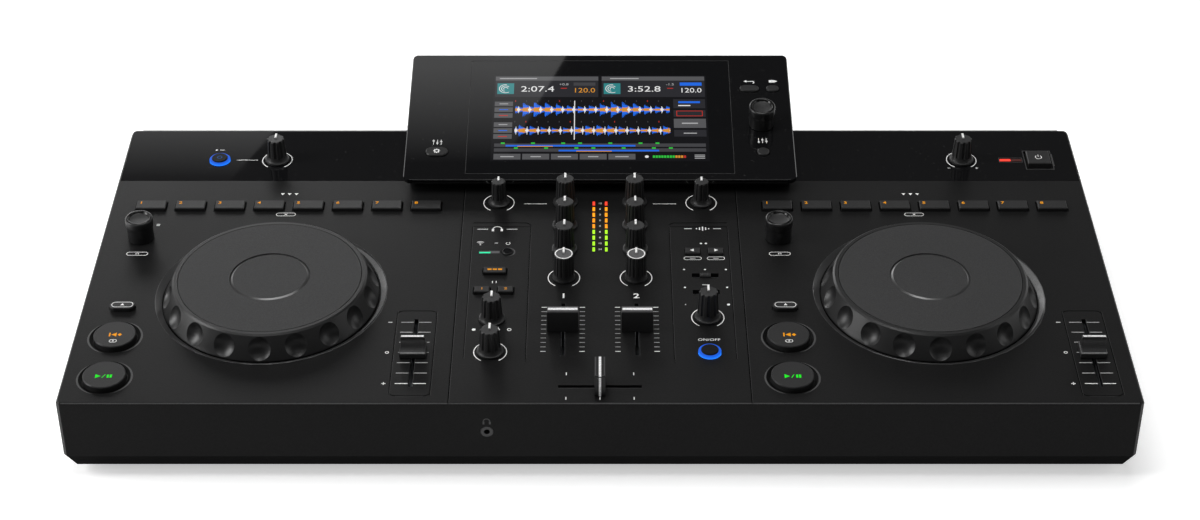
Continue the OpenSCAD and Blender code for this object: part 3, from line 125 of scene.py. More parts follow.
studio = bpy.data.worlds.new("studio_walls")
studio.use_nodes = True
scene.world = studio
tree = studio.node_tree
backdrop = tree.nodes["Background"]
heading = axes(tree, "Generated")
wall_levels = ((0, 1.0), (0.30, 0.80), (0.44, 0.05), (0.8, 0.04), (1, 0.20))
walls = ramp(tree, heading["Z"], [(height, (level,) * 3) for height, level in wall_levels])
tree.links.new(walls, backdrop.inputs["Color"])
tree.links.new(remap(tree, heading["Y"], -0.2, 0.7, 0.2, 1.3), backdrop.inputs["Strength"])


def soft_lamp(name, place, aim, width, depth, power):
    lamp = bpy.data.lights.new(name, "AREA")
    lamp.shape = "RECTANGLE"
    lamp.size = width
    lamp.size_y = depth
    lamp.energy = power
    stand = bpy.data.objects.new(name, lamp)
    stand.location = place
    stand.rotation_euler = (Vector(aim) - Vector(place)).to_track_quat("-Z", "Y").to_euler()
    scene.collection.objects.link(stand)


def blank(name):
    material = bpy.data.materials.new(name)
    material.use_nodes = True
    return material, material.node_tree, material.node_tree.nodes["Principled BSDF"]


def add_object(name, bm, material):
    mesh = bpy.data.meshes.new(name)
    bm.to_mesh(mesh)
    bm.free()
    mesh.materials.append(material)
    made = bpy.data.objects.new(name, mesh)
    scene.collection.objects.link(made)
    return made


soft_lamp("key_lamp", (-0.60, 1.75, 0.74), (-0.2, 0, 0.05), 0.85, 0.42, 4.7)
soft_lamp("edge_lamp", (-1.15, 1.65, 0.65), (-0.1, 0, 0.05), 0.8, 0.45, 2.4)
soft_lamp("top_lamp", (-0.1, 0.1, 1.9), (0, 0, 0.05), 1.6, 0.6, 21)
soft_lamp("left_lamp", (-1.6, -0.2, 0.8), (0, 0, 0.05), 0.6, 1.2, 20)
soft_lamp("right_lamp", (1.6, -0.2, 0.8), (0, 0, 0.05), 0.6, 1.2, 3.5)
soft_lamp("front_lamp", (0, -1.1, 1.65), (0, 0, 0.05), 2.0, 0.4, 1.8)

bm = bmesh.new()
bmesh.ops.create_grid(bm, x_segments=1, y_segments=1, size=6)
paper, tree, shader = blank("floor_paper")
fill(shader, {"Base Color": (0.86, 0.86, 0.86, 1), "Roughness": 0.9, "Specular IOR Level": 0})
path = tree.nodes.new("ShaderNodeLightPath").outputs
seen = combine(tree, "MAXIMUM", path["Is Camera Ray"], path["Is Glossy Ray"])
seen = combine(tree, "MAXIMUM", seen, path["Is Transmission Ray"])
glow = tree.nodes.new("ShaderNodeEmission")
both = tree.nodes.new("ShaderNodeAddShader")
tree.links.new(combine(tree, "MULTIPLY", seen, 0.5), glow.inputs["Strength"])
tree.links.new(shader.outputs[0], both.inputs[0])
tree.links.new(glow.outputs[0], both.inputs[1])
tree.links.new(both.outputs[0], tree.nodes["Material Output"].inputs["Surface"])
floor = add_object("studio_floor", bm, paper)
floor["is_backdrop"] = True

# Lower tray
# Shallow moulded tray with a sloping skirt, screwed up into the case from below.
# Black plastic from a spark-eroded mould: a fine even grain, a little cloudy where it cooled.
def shader_group(name, inputs, outputs):
    group = bpy.data.node_groups.new(name, "ShaderNodeTree")
    for side, sockets in (("INPUT", inputs), ("OUTPUT", outputs)):
        for label, kind in sockets.items():
            group.interface.new_socket(name=label, in_out=side, socket_type="NodeSocket" + kind)
    return group, group.nodes.new("NodeGroupInput").outputs, group.nodes.new("NodeGroupOutput").inputs


def noise(tree, place, scale, detail=2, roughness=0.5):
    node = tree.nodes.new("ShaderNodeTexNoise")
    fill(node, {"Detail": detail, "Roughness": roughness})
    plug(tree, scale, node.inputs["Scale"])
    tree.links.new(place, node.inputs["Vector"])
    return node.outputs["Fac"]


def blend(tree, kind, factor, first, second):
    node = tree.nodes.new("ShaderNodeMix")
    node.data_type = "RGBA"
    node.blend_type = kind
    for name, value in (("Factor", factor), ("A", first), ("B", second)):
        plug(tree, value, node.inputs[name])
    return node.outputs["Result"]


grain, ask, give = shader_group(
    "moulded_grain", {"Vector": "Vector", "Colour": "Color", "Roughness": "Float", "Cells per Metre": "Float"},
    {"Colour": "Color", "Roughness": "Float", "Height": "Float"})
spark = noise(grain, ask["Vector"], ask["Cells per Metre"], 3, 0.6)
pit = remap(grain, spark, 0.3, 0.7, 0.72, 1.28)
haze = remap(grain, noise(grain, ask["Vector"], 9), 0.3, 0.7, 0.93, 1.07)
tint = blend(grain, "MULTIPLY", 1, ask["Colour"], combine(grain, "MULTIPLY", pit, haze))
grain.links.new(tint, give["Colour"])
grain.links.new(combine(grain, "MULTIPLY", ask["Roughness"], haze), give["Roughness"])
grain.links.new(spark, give["Height"])


def moulded(name, colour, roughness, cells, relief, gloss=0.4, metallic=0):
    material, tree, shader = blank(name)
    where = tree.nodes.new("ShaderNodeTexCoord")
    skin = tree.nodes.new("ShaderNodeGroup")
    skin.node_tree = grain
    skin.name = "grain"
    fill(skin, {"Colour": (*colour, 1), "Roughness": roughness, "Cells per Metre": cells})
    fill(shader, {"Specular IOR Level": gloss, "Metallic": metallic})
    bump = tree.nodes.new("ShaderNodeBump")
    fill(bump, {"Strength": relief, "Distance": 0.0001})
    tree.links.new(where.outputs["Object"], skin.inputs["Vector"])
    tree.links.new(skin.outputs["Colour"], shader.inputs["Base Color"])
    tree.links.new(skin.outputs["Roughness"], shader.inputs["Roughness"])
    tree.links.new(skin.outputs["Height"], bump.inputs["Height"])
    tree.links.new(bump.outputs["Normal"], shader.inputs["Normal"])
    return material


def dress(material, *names):
    for name in names:
        nodes[name].data.materials.clear()
        nodes[name].data.materials.append(material)


tray_plastic = moulded("tray_plastic", (0.0045, 0.0045, 0.0046), 0.6, 1500, 0.3, 0.5)
tray_plastic.node_tree.nodes["Principled BSDF"].inputs["IOR"].default_value = 1.07
dress(tray_plastic, "bottom_case")

# Feet and case screws
# Six rubber feet glued under the tray, and six black zinc-plated cross-head screws beside them.
# The rubber is coarse and dull; the screws keep a faint sheen.
dress(moulded("foot_rubber", (0.010, 0.010, 0.010), 0.85, 900, 0.5, 0.1), "rubber_feet")
dress(moulded("black_zinc", (0.09, 0.09, 0.10), 0.34, 2600, 0.15, metallic=1), "case_screws")

# Boards and control bodies
# Glass-fibre boards under green solder mask, with tinned tracks, and the pressed steel bodies of the
# rotary and slide controls that are soldered to them. All of it is closed in by the case.
board = moulded("solder_mask", (0.010, 0.075, 0.028), 0.38, 700, 0.1)
tree = board.node_tree
tracks = tree.nodes.new("ShaderNodeTexBrick")
fill(tracks, {"Scale": 60, "Mortar Size": 0.03, "Mortar": (0.05, 0.17, 0.07, 1),
              "Color1": (0.010, 0.075, 0.028, 1), "Color2": (0.012, 0.090, 0.034, 1)})
where = tree.nodes.new("ShaderNodeTexCoord")
tree.links.new(where.outputs["Object"], tracks.inputs["Vector"])
tree.links.new(tracks.outputs["Color"], tree.nodes["grain"].inputs["Colour"])
dress(board, "circuit_boards")
steel = moulded("pressed_steel", (0.42, 0.43, 0.45), 0.36, 1800, 0.1, metallic=1)
dress(steel, "pot_bodies", "fader_bodies", "jog_spindles")
dress(moulded("switch_plastic", (0.016, 0.016, 0.018), 0.5, 1600, 0.2), "tact_switches")

# Upper case
# One-piece moulding with the deck, the walls and the dishes of the jog wheels, screwed to the tray.
# Matt black plastic with a fine leathery spark grain that breaks up the light.
deck_plastic = moulded("deck_plastic", (0.0060, 0.0060, 0.0061), 0.42, 750, 0.42, 0.13)
dress(deck_plastic, "top_case")

# Deck printing
# Legends, screen-printed on the deck: white arcs round the knobs, numbers and signs, and greyer fader scales.
# Each is a thin film of slightly chalky ink.
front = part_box("top_case")[0].y
deck_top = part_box("top_case")[1].z


def face_at(height, y=front, tip=0):
    return Matrix.Translation((0, y, height)) @ Matrix.Rotation(math.radians(tip), 4, "X")


def top_of(name):
    return face_at(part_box(name)[1].z)


def spot(name):
    low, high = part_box(name)
    return (low.x + high.x) * 500, ((low.y + high.y) / 2 - front) * 1000


def flat_bar(bm, x, y, w, d, turn=0):
    bmesh.ops.create_grid(bm, x_segments=1, y_segments=1, size=0.5, matrix=Matrix.Translation((x, y, 0))
                          @ Matrix.Rotation(math.radians(turn), 4, "Z") @ Matrix.Diagonal((w, d, 1, 1)))


def flat_disc(bm, x, y, r, sides=20, turn=0):
    bmesh.ops.create_circle(bm, cap_ends=True, segments=sides, radius=r, matrix=Matrix.Translation((x, y, 0))
                            @ Matrix.Rotation(math.radians(turn), 4, "Z"))


def flat_arc(bm, x, y, r, line, start, end):
    tip = Vector((math.cos(math.radians(start)), math.sin(math.radians(start)), 0))
    rim = [bm.verts.new(Vector((x, y, 0)) + tip * k) for k in (r - line / 2, r + line / 2)]
    edge = bm.edges.new(rim)
    bmesh.ops.spin(bm, geom=rim + [edge], cent=(x, y, 0), axis=(0, 0, 1), angle=math.radians(end - start),
                   steps=max(6, int(abs(end - start) / 8)), use_merge=abs(end - start) >= 360)


def flat_pill(bm, x, y, w, d, line):
    for k in (-1, 1):
        flat_bar(bm, x, y + k * (d - line) / 2, w - d, line)
        flat_arc(bm, x + k * (w - d) / 2, y, (d - line) / 2, line, -90 * k, 180 - 90 * k)


def flat_frame(bm, x, y, w, d, line):
    for k in (-1, 1):
        flat_bar(bm, x, y + k * (d + line) / 2, w + 2 * line, line)
        flat_bar(bm, x + k * (w + line) / 2, y, line, d)


def flat_text(bm, words, x, y, height, spread=1, weight=0):
    letters = bpy.data.curves.new("numerals", "FONT")
    letters.body = words
    letters.size = height * 1.4
    letters.align_x = "CENTER"
    letters.align_y = "CENTER"
    letters.resolution_u = 3
    letters.offset = weight
    maker = bpy.data.objects.new("numerals", letters)
    scene.collection.objects.link(maker)
    shapes = bpy.data.meshes.new_from_object(maker.evaluated_get(bpy.context.evaluated_depsgraph_get()))
    shapes.transform(Matrix.Translation((x, y, 0)) @ Matrix.Diagonal((spread, 1, 1, 1)))
    bm.from_mesh(shapes)
    bpy.data.objects.remove(maker)
    bpy.data.curves.remove(letters)
    bpy.data.meshes.remove(shapes)


def make_piece(name, bm, body, material):
    made = add_object(name, bm, material)
    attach(made, body)
    return made


def set_down(bm, face, x=0, y=0):
    bmesh.ops.transform(bm, matrix=face @ Matrix.Scale(0.001, 4) @ Matrix.Translation((x, y, 0)), verts=bm.verts)


def film(name, bm, body, material, place, thick=0.04):
    bmesh.ops.remove_doubles(bm, verts=bm.verts, dist=0.001)
    bm.normal_update()
    bmesh.ops.reverse_faces(bm, faces=[f for f in bm.faces if f.normal.z < 0])
    raised = bmesh.ops.extrude_face_region(bm, geom=bm.faces[:])["geom"]
    bmesh.ops.translate(bm, vec=(0, 0, thick), verts=[g for g in raised if isinstance(g, bmesh.types.BMVert)])
    bmesh.ops.recalc_face_normals(bm, faces=bm.faces)
    set_down(bm, place)
    make_piece(name, bm, body, material)


def bar_film(name, body, material, place, bar, thick=0.04):
    bm = bmesh.new()
    flat_bar(bm, *bar)
    film(name, bm, body, material, place, thick)


white_ink = moulded("white_ink", (0.84, 0.84, 0.83), 0.55, 1500, 0.15)
scale_ink = moulded("scale_ink", (0.36, 0.36, 0.355), 0.55, 1500, 0.15)
deck_face = face_at(deck_top)
level_marks, level_far, level_step = 11, 95.7, 4.52
level_middle = level_far - level_step * (level_marks - 1) / 2
tempo_marks, tempo_far, tempo_step = 7, 80.1, 10.2
tempo_near = tempo_far - tempo_step * (tempo_marks - 1)
tempo_middle = (tempo_far + tempo_near) / 2
meter_middle, meter_step = 185, 6.6
crossfader_reach = 20.4
bm = bmesh.new()
scale = bmesh.new()
for name in ("trim_knob_1", "trim_knob_2", "filter_knob_1", "filter_knob_2", "headphone_level_knob",
             "effect_depth_knob", "mic_knob", "master_knob"):
    x, y = spot(name)
    flat_arc(bm, x, y, 10.1, 0.6, -57, 59)
    flat_arc(bm, x, y, 10.1, 0.6, 121, 237)
x, y = spot("headphone_mix_knob")
for k in (-1, 1):
    flat_bar(bm, x + k * 4.2, y - 9.3, 4.1, 0.5, 90 + k * 26)
for side in (-1, 1):
    x, y = spot("channel_cap_1" if side < 0 else "channel_cap_2")
    for step in range(level_marks):
        for k in (-1, 1):
            end = step in (0, level_marks - 1)
            flat_bar(bm if end else scale, x + k * 12, level_far - level_step * step, 3.3, 0.6 if end else 0.5)
    flat_text(bm, "1" if side < 0 else "2", x, 107.6, 4.9, 1.2, 0.14)
    flat_bar(bm, side * 43, 210.9, 15.2, 0.5)
    flat_bar(bm, side * crossfader_reach, 28.3, 0.6, 2.6)
    flat_bar(bm, side * crossfader_reach, 4.7, 0.6, 2.6)
flat_bar(bm, 0, 4.7, 0.6, 2.6)
for deck in ("left", "right"):
    x, y = spot("tempo_cap_" + deck)
    for step in range(tempo_marks):
        for k in (-1, 1):
            ink = scale if step < tempo_marks - 1 else bm
            flat_bar(ink, x + k * 5.5, tempo_far - tempo_step * step, 7.8, 0.65)
    flat_bar(bm, x - 16.2, tempo_far, 2.6, 0.6)
    flat_arc(bm, x - 16.2, tempo_middle, 0.95, 0.5, 0, 360)
    flat_bar(bm, x - 16.2, tempo_near, 2.6, 0.6)
    flat_bar(bm, x - 16.2, tempo_near, 0.6, 2.6)
    x, y = spot("jog_plate_" + deck)
    flat_pill(bm, x, 198.5, 13, 3.8, 0.38)
    flat_bar(bm, x, 198.5, 2.2, 0.4, 45)
    flat_bar(bm, x, 198.5, 2.2, 0.4, -45)
    for k in (-1, 0, 1):
        flat_disc(bm, x + 4.6 * k, 222.7, 1.5, 3, 180)
    x, y = spot("loop_encoder_" + deck)
    flat_pill(bm, x, 153.7, 14, 3.9, 0.38)
    flat_arc(bm, x, 153.7, 0.9, 0.35, -60, 240)
    flat_bar(bm, x + 8.9, 187.0, 2.2, 0.45)
    flat_bar(bm, x + 8.9, 185.6, 2.2, 0.45)
for step, mark in enumerate(("24", "15", "9", "6", "3", "0", "3", "6", "12")):
    flat_text(bm, mark, 0, meter_middle + meter_step * (step - 4), 1.7, 1.0, 0.05)
film("deck_legends", bm, "case", white_ink, deck_face)
film("deck_scales", scale, "case", scale_ink, deck_face)

# Headphone and effect legends
# Small white signs beside the keys of the two outer sections: a headset, a wireless sign, switch marks
# and level wedges. They are printed with the rest of the deck.
bm = bmesh.new()
headphone_column, effect_column, pair_offset = -67.3, 67.3, 7.5
x = headphone_column
flat_arc(bm, x, 181.4, 2.9, 0.65, 0, 180)
for k in (-1, 1):
    flat_bar(bm, x + k * 2.9, 180.4, 1.5, 2.6)
    flat_bar(bm, x + k * 9.6, 181.4, 7.0, 0.55)
for k in range(3):
    flat_arc(bm, x - 10.5, 164.2, 0.9 + 1.1 * k, 0.45, 45, 135)
flat_disc(bm, x - 10.5, 163.7, 0.5)
flat_bar(bm, x - 0.2, 165.6, 2.2, 0.45)
flat_arc(bm, x + pair_offset, 165.3, 1.3, 0.4, 110, 430)
for k in (-1, 1):
    flat_bar(bm, x + k * 1.2, 122.6, 0.5, 2.2)
flat_disc(bm, x - 11, 72.6, 1.2)
flat_arc(bm, x + 11, 72.6, 1.1, 0.55, 0, 360)
x = effect_column
for k, tall in enumerate((1.2, 2.8, 4.6, 2.8, 1.2)):
    flat_bar(bm, x + 2.0 * (k - 2), 182, 0.8, tall)
for k in (-1, 1):
    flat_bar(bm, x + k * 9.6, 182, 5.0, 0.55)
    flat_disc(bm, x + k * 1.6, 165.2, 0.8)
    flat_pill(bm, x + k * pair_offset, 148.6, 11.6, 3.6, 0.4)
    flat_bar(bm, x + k * pair_offset, 148.6, 3.4, 0.4)
    flat_disc(bm, x + k * 13.4, 136.2, 0.7)
    flat_disc(bm, x + k * 13.4, 116.8, 0.7)
    flat_disc(bm, x + k * 13.5, 98.6, 0.7 + 0.3 * k)
flat_disc(bm, x, 136.2, 0.7)
flat_bar(bm, x, 119.6, 4.6, 0.5)
flat_text(bm, "ON/OFF", x, 62.2, 2.3, 1.18)
film("section_legends", bm, "case", white_ink, deck_face)

# Groove and slot edges
# The far lips of the parting grooves and fader slots, and a narrow lip of the case behind the strips.
# They are films of the deck's grain, painted lighter and a little smoother as painted highlights along the edges;
# the grooves and the gaps round the keys are lined with dull black films as painted shade.
# Painted highlight colours for the lips and edges, and painted shade for the grooves and key gaps.
edge_painted_highlight = moulded("edge_painted_highlight", (0.0330, 0.0330, 0.0334), 0.34, 1500, 0.1, 0.3)
lip_painted_highlight = moulded("lip_painted_highlight", (0.065, 0.065, 0.0655), 0.3, 1500, 0.06, 0.4)
groove_painted_shade = moulded("groove_painted_shade", (0.0010, 0.0010, 0.0010), 0.9, 1500, 0.1, 0.0)
hot_cue_count, hot_cue_pitch = 8, 26.1
master_key, cue_keys = (headphone_column, 133.8), [(headphone_column + k * pair_offset, 113) for k in (-1, 1)]
# bm gathers the painted highlight lips, dark the painted shade lines in the grooves and round the keys.
bm = bmesh.new()
dark = bmesh.new()
for side in (-1, 1):
    for x, y, wide, long in ((90.7, 114.5, 0.6, 229), (83.5, 113.7, 0.4, 141), (45.5, 113.7, 0.4, 141)):
        flat_bar(dark, side * x, y, wide, long)
        flat_bar(bm, side * x + wide / 2 + 0.16, y, 0.28, long)
    flat_bar(dark, side * 64.5, 184.2, 37.6, 0.4)
    flat_bar(bm, side * 225, 300.9, 186, 1.5)
    x, y = spot("channel_cap_1" if side < 0 else "channel_cap_2")
    flat_bar(bm, x + 1.5, level_middle, 0.32, 53)
    x, y = spot("tempo_cap_left" if side < 0 else "tempo_cap_right")
    flat_bar(bm, x + 1.5, tempo_middle, 0.28, 67)
    for k in (-1, 1):
        flat_bar(dark, x + k * 12.35, tempo_middle, 0.35, 84)
        flat_bar(bm, x + k * 12.35 + 0.35, tempo_middle, 0.28, 84)
    flat_bar(bm, x, 6.6, 16.7, 0.3)
flat_bar(bm, 0, 14.45, 50.4, 0.38)
for deck in ("left", "right"):
    x, y = spot("hot_cue_keys_" + deck)
    for key in range(hot_cue_count):
        flat_frame(dark, x + hot_cue_pitch * (key - 3.5), y, 20.2, 10.2, 0.45)
for (x, y), wide in ((master_key, 15.2), *((place, 10.5) for place in cue_keys)):
    flat_frame(dark, x, y, wide, 7.0, 0.4)
film("edge_lips", bm, "case", edge_painted_highlight, deck_face, 0.03)
film("groove_lines", dark, "case", groove_painted_shade, deck_face, 0.02)
# A painted highlight along the deck's front edge.
bar_film("front_edge", "case", lip_painted_highlight, face_at(deck_top - 0.0005, front + 0.0005, 45), (0, 0, 644, 0.8), 0.03)

# Dish rims
# The slopes of the dishes round the jog wheels, the transport keys and the pairing key.
# The jog dish slopes are glossy and painted lighter than the deck as a painted sheen, with bright crescents
# of painted highlight on the lips; the small dish slopes are painted dark as painted shade under their keys.
# Painted sheen for the jog slopes, a painted highlight colour, and painted shade for the small dish slopes.
dish_painted_sheen = moulded("dish_painted_sheen", (0.028, 0.028, 0.0283), 0.28, 1500, 0.06, 0.9)
jog_painted_highlight = moulded("jog_painted_highlight", (0.17, 0.17, 0.171), 0.3, 1500, 0.06, 0.6)
dish_painted_shade = moulded("dish_painted_shade", (0.0025, 0.0025, 0.0025), 0.6, 1500, 0.1, 0.1)
slope_edge = 72.8
pairing_key = headphone_column + pair_offset, 155.6


def crescent(bm, x, y, r, wide, middle, reach, slope=0):
    rims = []
    for step in range(17):
        turn = math.radians(middle + reach * (step / 8 - 1))
        half = 0.5 * wide * math.cos(math.pi / 2 * (step / 8 - 1)) + 0.02
        rims.append([bm.verts.new((x + k * math.cos(turn), y + k * math.sin(turn), slope * (k - slope_edge)))
                     for k in (r - half, r + half)])
    for (a, b), (c, d) in zip(rims, rims[1:]):
        bm.faces.new((a, b, d, c))


def turned(profile, steps, closed=True):
    bm = bmesh.new()
    rim = [bm.verts.new((r, 0, z)) for r, z in profile]
    edges = [bm.edges.new(pair) for pair in zip(rim, rim[1:] + rim[:1] if closed else rim[1:])]
    bmesh.ops.spin(bm, geom=rim + edges, cent=(0, 0, 0), axis=(0, 0, 1), angle=math.tau, steps=steps, use_merge=True)
    bmesh.ops.remove_doubles(bm, verts=bm.verts, dist=0.001)
    bmesh.ops.recalc_face_normals(bm, faces=bm.faces)
    return bm


def dish_rim(name, x, y, wide, narrow, drop, material):
    bm = turned(((wide, -0.02), (narrow, -drop - 0.02), (narrow - 0.1, 0.2 - drop), (wide - 0.15, 0.06)), 192)
    set_down(bm, deck_face, x, y)
    make_piece(name, bm, "case", material)


for deck in ("left", "right"):
    bm = bmesh.new()
    x, y = spot("jog_plate_" + deck)
    # The jog dish slope in the painted sheen, with a painted highlight crescent on its lip.
    dish_rim("jog_dish_" + deck, x, y, 73, 68.9, 2.4, dish_painted_sheen)
    crescent(bm, x, y, 73.2, 0.4, -25, 80)
    # A broad painted highlight on the right-hand slope of the jog dish.
    shine = bmesh.new()
    crescent(shine, x, y, 71.0, 3.4, 8, 46, 0.558)
    film("jog_shine_" + deck, shine, "case", jog_painted_highlight, face_at(deck_top + 0.00008))
    for key in ("cue", "play"):
        x, y = spot(key + "_button_" + deck)
        # The small dish slope in painted shade, with painted highlight crescents on both sides of its lip.
        dish_rim(key + "_dish_" + deck, x, y, 16, 13.9, 1.5, dish_painted_shade)
        crescent(bm, x, y, 16.4, 1.3, 0, 68)
        crescent(bm, x, y, 16.4, 1.2, 195, 62)
    film("dish_lips_" + deck, bm, "case", lip_painted_highlight, deck_face)
bm = bmesh.new()
# A painted highlight crescent on the right of the pairing key's lip.
crescent(bm, *pairing_key, 4.5, 1.0, 0, 100)
film("pairing_rim", bm, "case", lip_painted_highlight, deck_face)

# Gloss strips
# Two inlaid strips behind the decks, moulded in high-gloss black and snapped into the deck.
# They mirror the studio, with faint wiping marks and specks of dust in the polish.
wiping, ask, give = shader_group("wiping_marks", {"Vector": "Vector", "Roughness": "Float"},
                                 {"Roughness": "Float", "Dust": "Float"})
stroke = wiping.nodes.new("ShaderNodeMapping")
fill(stroke, {"Scale": (6, 60, 60), "Rotation": (0, 0, 0.5)})
wiping.links.new(ask["Vector"], stroke.inputs["Vector"])
smear = remap(wiping, noise(wiping, stroke.outputs["Vector"], 1, 4), 0.35, 0.75, 0.75, 1.7)
specks = remap(wiping, noise(wiping, ask["Vector"], 420, 1), 0.70, 0.78)
wiping.links.new(combine(wiping, "MULTIPLY", ask["Roughness"], smear), give["Roughness"])
wiping.links.new(specks, give["Dust"])


def polished(name, colour, dust_colour, roughness):
    material, tree, shader = blank(name)
    where = tree.nodes.new("ShaderNodeTexCoord")
    marks = tree.nodes.new("ShaderNodeGroup")
    marks.node_tree = wiping
    marks.inputs["Roughness"].default_value = roughness
    tree.links.new(where.outputs["Object"], marks.inputs["Vector"])
    coat = blend(tree, "MIX", marks.outputs["Dust"], colour, dust_colour)
    tree.links.new(coat, shader.inputs["Base Color"])
    tree.links.new(marks.outputs["Roughness"], shader.inputs["Roughness"])
    return material


gloss_black = polished("gloss_black", (0.0045, 0.0045, 0.005), (0.02, 0.02, 0.02), 0.025)
dress(gloss_black, "gloss_strips")
bm = bmesh.new()
x, y = spot("mic_knob")
flat_bar(bm, x - 20.5, y, 14.5, 0.45)
flat_pill(bm, x - 0.2, 281.2, 2.6, 1.9, 0.4)
flat_bar(bm, x - 0.2, 282.4, 1.6, 2.6)
flat_arc(bm, x - 0.2, 282.2, 1.7, 0.4, 180, 360)
flat_bar(bm, x - 0.2, 279.8, 0.45, 1.6)
x, y = spot("mic_button")
flat_bar(bm, x, 276.5, 3.0, 0.5)
flat_disc(bm, x - 3.8, 276.5, 0.8)
x, y = spot("master_knob")
flat_bar(bm, x - 1.6, 281.4, 1.2, 1.8)
flat_disc(bm, x - 0.5, 281.4, 1.7, 3, 90)
flat_arc(bm, x + 0.6, 281.4, 1.2, 0.4, -50, 50)
flat_arc(bm, x + 0.6, 281.4, 2.3, 0.4, -50, 50)
flat_bar(bm, x - 9.4, 254.2, 1.8, 0.45)
flat_bar(bm, x + 9.4, 254.2, 1.8, 0.45)
flat_bar(bm, x + 9.4, 254.2, 0.45, 1.8)
film("strip_legends", bm, "case", white_ink, deck_face)

# Jog wheels
# A satin rim with moulded finger scoops, and a flat touch plate pressed into it; each pair turns on a
# steel spindle. The plate is a lighter grey with an even, slightly soft grain; the slope of the ring
# cut into it is polished.
dress(moulded("jog_rim", (0.0070, 0.0070, 0.0072), 0.37, 1600, 0.2, 0.45), "jog_ring_left", "jog_ring_right")
dress(moulded("jog_plate", (0.0350, 0.0350, 0.0355), 0.55, 1900, 0.28, 0.12), "jog_plate_left", "jog_plate_right")
mark_satin = moulded("mark_satin", (0.030, 0.030, 0.0303), 0.30, 1600, 0.08, 0.8)
for deck in ("left", "right"):
    bm = turned(((23.25, 0.02), (24.95, -0.83), (24.9, -0.93), (23.25, -0.1)), 128)
    x, y = spot("jog_plate_" + deck)
    set_down(bm, top_of("jog_plate_" + deck), x, y)
    make_piece("jog_mark_" + deck, bm, "jog_" + deck, mark_satin)

# Hot cue keys
# Rows of silicone-backed keys with hard caps, lit through a small index number at the upper left.
# Satin dark grey caps with chamfered edges; the number glows orange.
key_plastic = moulded("key_plastic", (0.0180, 0.0180, 0.0183), 0.42, 1700, 0.22, 0.22)
dress(key_plastic, "hot_cue_keys_left", "hot_cue_keys_right")


def lit(name, colour, strength):
    material = moulded(name, colour, 0.5, 1500, 0.1, 0.1)
    tree = material.node_tree
    shader = tree.nodes["Principled BSDF"]
    shader.inputs["Emission Strength"].default_value = strength
    tree.links.new(tree.nodes["grain"].outputs["Colour"], shader.inputs["Emission Color"])
    return material


orange_light = lit("orange_light", (0.15, 0.058, 0.0004), 4.4)
for deck in ("left", "right"):
    name = "hot_cue_keys_" + deck
    x, y = spot(name)
    bm = bmesh.new()
    for key in range(hot_cue_count):
        flat_text(bm, str(key + 1), x + hot_cue_pitch * (key - 3.5) - 6.8, y + 1.5, 2.7, 1.25, 0.06)
    film("hot_cue_numbers_" + deck, bm, name, orange_light, top_of(name))

# Shift, cue and play keys
# A pill-shaped shift key and two large round keys in shallow dishes at the front left of each deck.
# Satin caps; the shift sign is printed white, the others are lit from behind, orange on the cue key and
# green on the play key.
dress(key_plastic, "shift_key_left", "shift_key_right", "cue_button_left", "cue_button_right",
      "play_button_left", "play_button_right")
green_light = lit("green_light", (0.002, 0.15, 0.003), 4.4)
for deck in ("left", "right"):
    name = "shift_key_" + deck
    x, y = spot(name)
    bm = bmesh.new()
    flat_pill(bm, x, y, 13.6, 5.4, 0.38)
    flat_disc(bm, x, y, 1.4, 3)
    film("shift_sign_" + deck, bm, name, white_ink, top_of(name))
    name = "cue_button_" + deck
    x, y = spot(name)
    bm = bmesh.new()
    flat_bar(bm, x - 2.9, y - 0.6, 0.9, 3.6)
    flat_disc(bm, x + 0.2, y - 0.6, 2.2, 3, 90)
    flat_bar(bm, x + 3.3, y - 0.6, 2.0, 2.0, 45)
    film("cue_sign_" + deck, bm, name, orange_light, top_of(name))
    bm = bmesh.new()
    flat_pill(bm, x, y - 7.0, 4.8, 3.0, 0.4)
    flat_bar(bm, x, y - 7.0, 1.0, 1.0)
    film("cue_mark_" + deck, bm, name, white_ink, top_of(name))
    name = "play_button_" + deck
    x, y = spot(name)
    bm = bmesh.new()
    flat_disc(bm, x - 3.9, y - 1.8, 2.2, 3, -90)
    flat_bar(bm, x, y - 1.8, 0.45, 3.6, -28)
    for k in (2.6, 4.4):
        flat_bar(bm, x + k, y - 1.8, 1.3, 3.0)
    film("play_sign_" + deck, bm, name, green_light, top_of(name))

